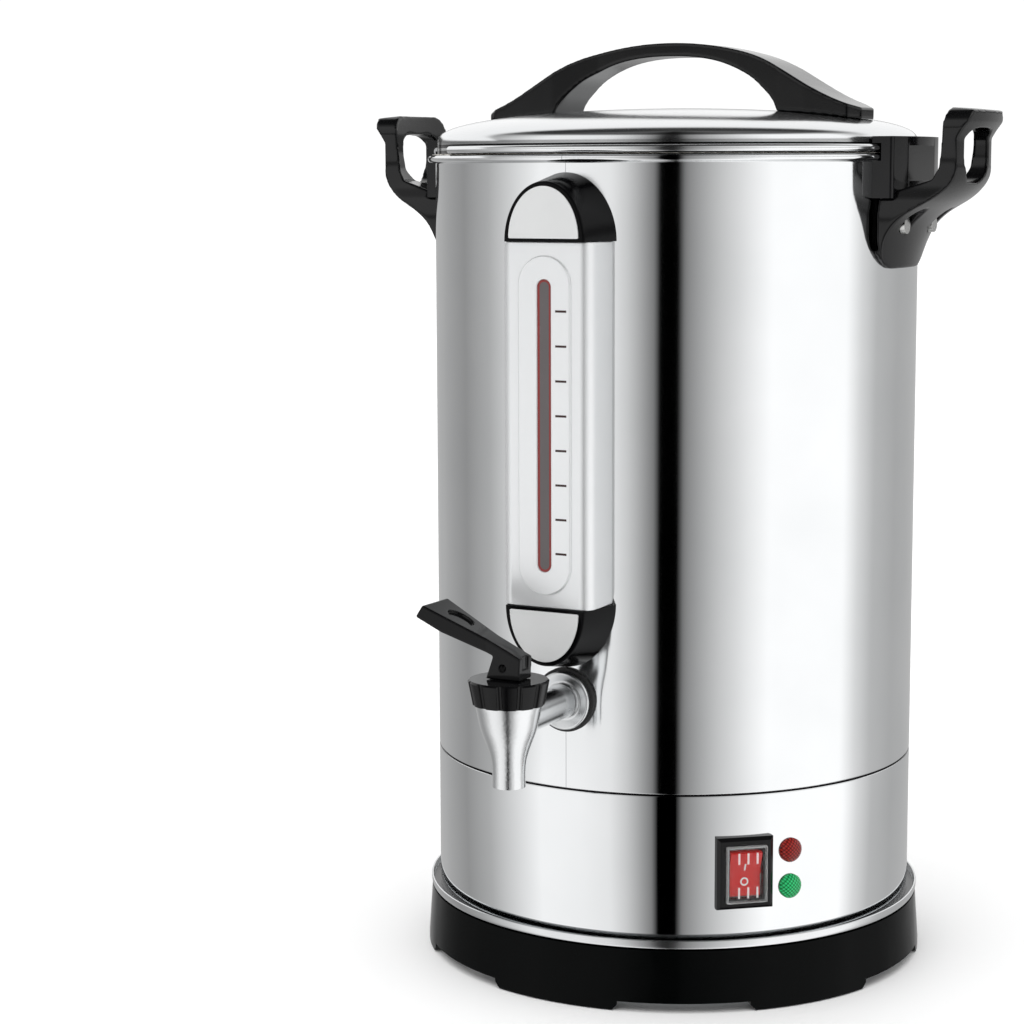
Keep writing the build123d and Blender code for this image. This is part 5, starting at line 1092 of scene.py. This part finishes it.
# A sheet of white paper hangs behind, from above the horizon to overhead.
lean = add_node(tree, "Math", {0: parts.outputs["Z"], 1: parts.outputs["X"]}, operation="ARCTAN2")
behind = add_node(
    tree,
    "MapRange",
    {
        "Value": lean.outputs["Value"],
        "From Min": radians(PAPER_LEAN[0]),
        "From Max": radians(PAPER_LEAN[1]),
        "To Min": 0.0,
        "To Max": 1.0,
    },
    interpolation_type="SMOOTHSTEP",
)
above = add_node(
    tree,
    "MapRange",
    {
        "Value": parts.outputs["Z"],
        "From Min": PAPER_RISE[0],
        "From Max": PAPER_RISE[1],
        "To Min": 0.0,
        "To Max": 1.0,
    },
    interpolation_type="SMOOTHSTEP",
)
paper = add_node(
    tree, "Math", {0: behind.outputs["Result"], 1: above.outputs["Result"]}, operation="MULTIPLY"
)
sky = add_node(
    tree,
    "Mix",
    {
        "Factor": paper.outputs["Value"],
        "A": room.outputs["Result"],
        "B": (PAPER_LIGHT, PAPER_LIGHT, PAPER_LIGHT, 1),
    },
    data_type="RGBA",
)

# The camera itself sees plain white all round.
seen = add_node(tree, "LightPath")
strength = add_node(
    tree,
    "Mix",
    {"Factor": seen.outputs["Is Camera Ray"], "A": SKY_GAIN, "B": BACKDROP_GAIN},
    data_type="FLOAT",
)
backdrop = add_node(
    tree,
    "Mix",
    {"Factor": seen.outputs["Is Camera Ray"], "A": sky.outputs["Result"], "B": (1, 1, 1, 1)},
    data_type="RGBA",
)
light = add_node(
    tree, "Background", {"Color": backdrop.outputs["Result"], "Strength": strength.outputs["Result"]}
)
add_node(tree, "OutputWorld", {"Surface": light.outputs["Background"]})

TABLE_SIZE = 40
bpy.ops.object.select_all(action="DESELECT")
bpy.ops.mesh.primitive_plane_add(size=TABLE_SIZE)
table_top = bpy.context.object
table_top.name = "table_top"

# White laminate is nearly matt, with a faint speck.
table_white, tree, shader, place = new_finish("white_laminate", {"Specular IOR Level": 0.2, "Roughness": 0.6})
speck = add_node(tree, "TexNoise", {"Vector": place, "Scale": 3.0, "Detail": 2.0})
pale = add_node(
    tree,
    "Mix",
    {"Factor": speck.outputs["Fac"], "A": linear("#FAFAFA"), "B": linear("#FFFFFF")},
    data_type="RGBA",
)
tree.links.new(pale.outputs["Result"], shader.inputs["Base Color"])
table_top.data.materials.append(table_white)
table_top.visible_glossy = False

# A broad lamp in front and a soft one overhead light the painted parts and the table; neither
# leaves a shape of its own in the steel.
for name, kind, place, aim, spread, power in (
    ("front_fill", "AREA", (0.9, -2.4, 1.3), (0, 0, 0.2), 2.2, 7),
    ("overhead_fill", "SUN", (0, -0.6, 2.6), (0, 0, 0), radians(80), 2.4),
):
    lamp = bpy.data.lights.new(name, kind)
    lamp.energy = power
    if kind == "AREA":
        lamp.size = spread
    else:
        lamp.angle = spread
    holder = bpy.data.objects.new(name, lamp)
    bpy.context.scene.collection.objects.link(holder)
    holder.location = place
    holder.rotation_euler = (Vector(aim) - Vector(place)).to_track_quat("-Z", "Y").to_euler()
    holder.visible_glossy = False

# The camera stands to the front right with a long lens and looks a little down.
CAMERA_PLACE = (0.49825, -1.07678, 0.37089)
CAMERA_TURN = (82.19614, 0.22882, 28.553)
CAMERA_LENS = 87.713
camera = bpy.data.objects.new("camera", bpy.data.cameras.new("camera"))
bpy.context.scene.collection.objects.link(camera)
camera.location = CAMERA_PLACE
camera.rotation_euler = [radians(angle) for angle in CAMERA_TURN]
camera.data.lens = CAMERA_LENS
camera.data.sensor_width = 36
bpy.context.scene.camera = camera
bpy.context.scene.view_settings.view_transform = "Standard"
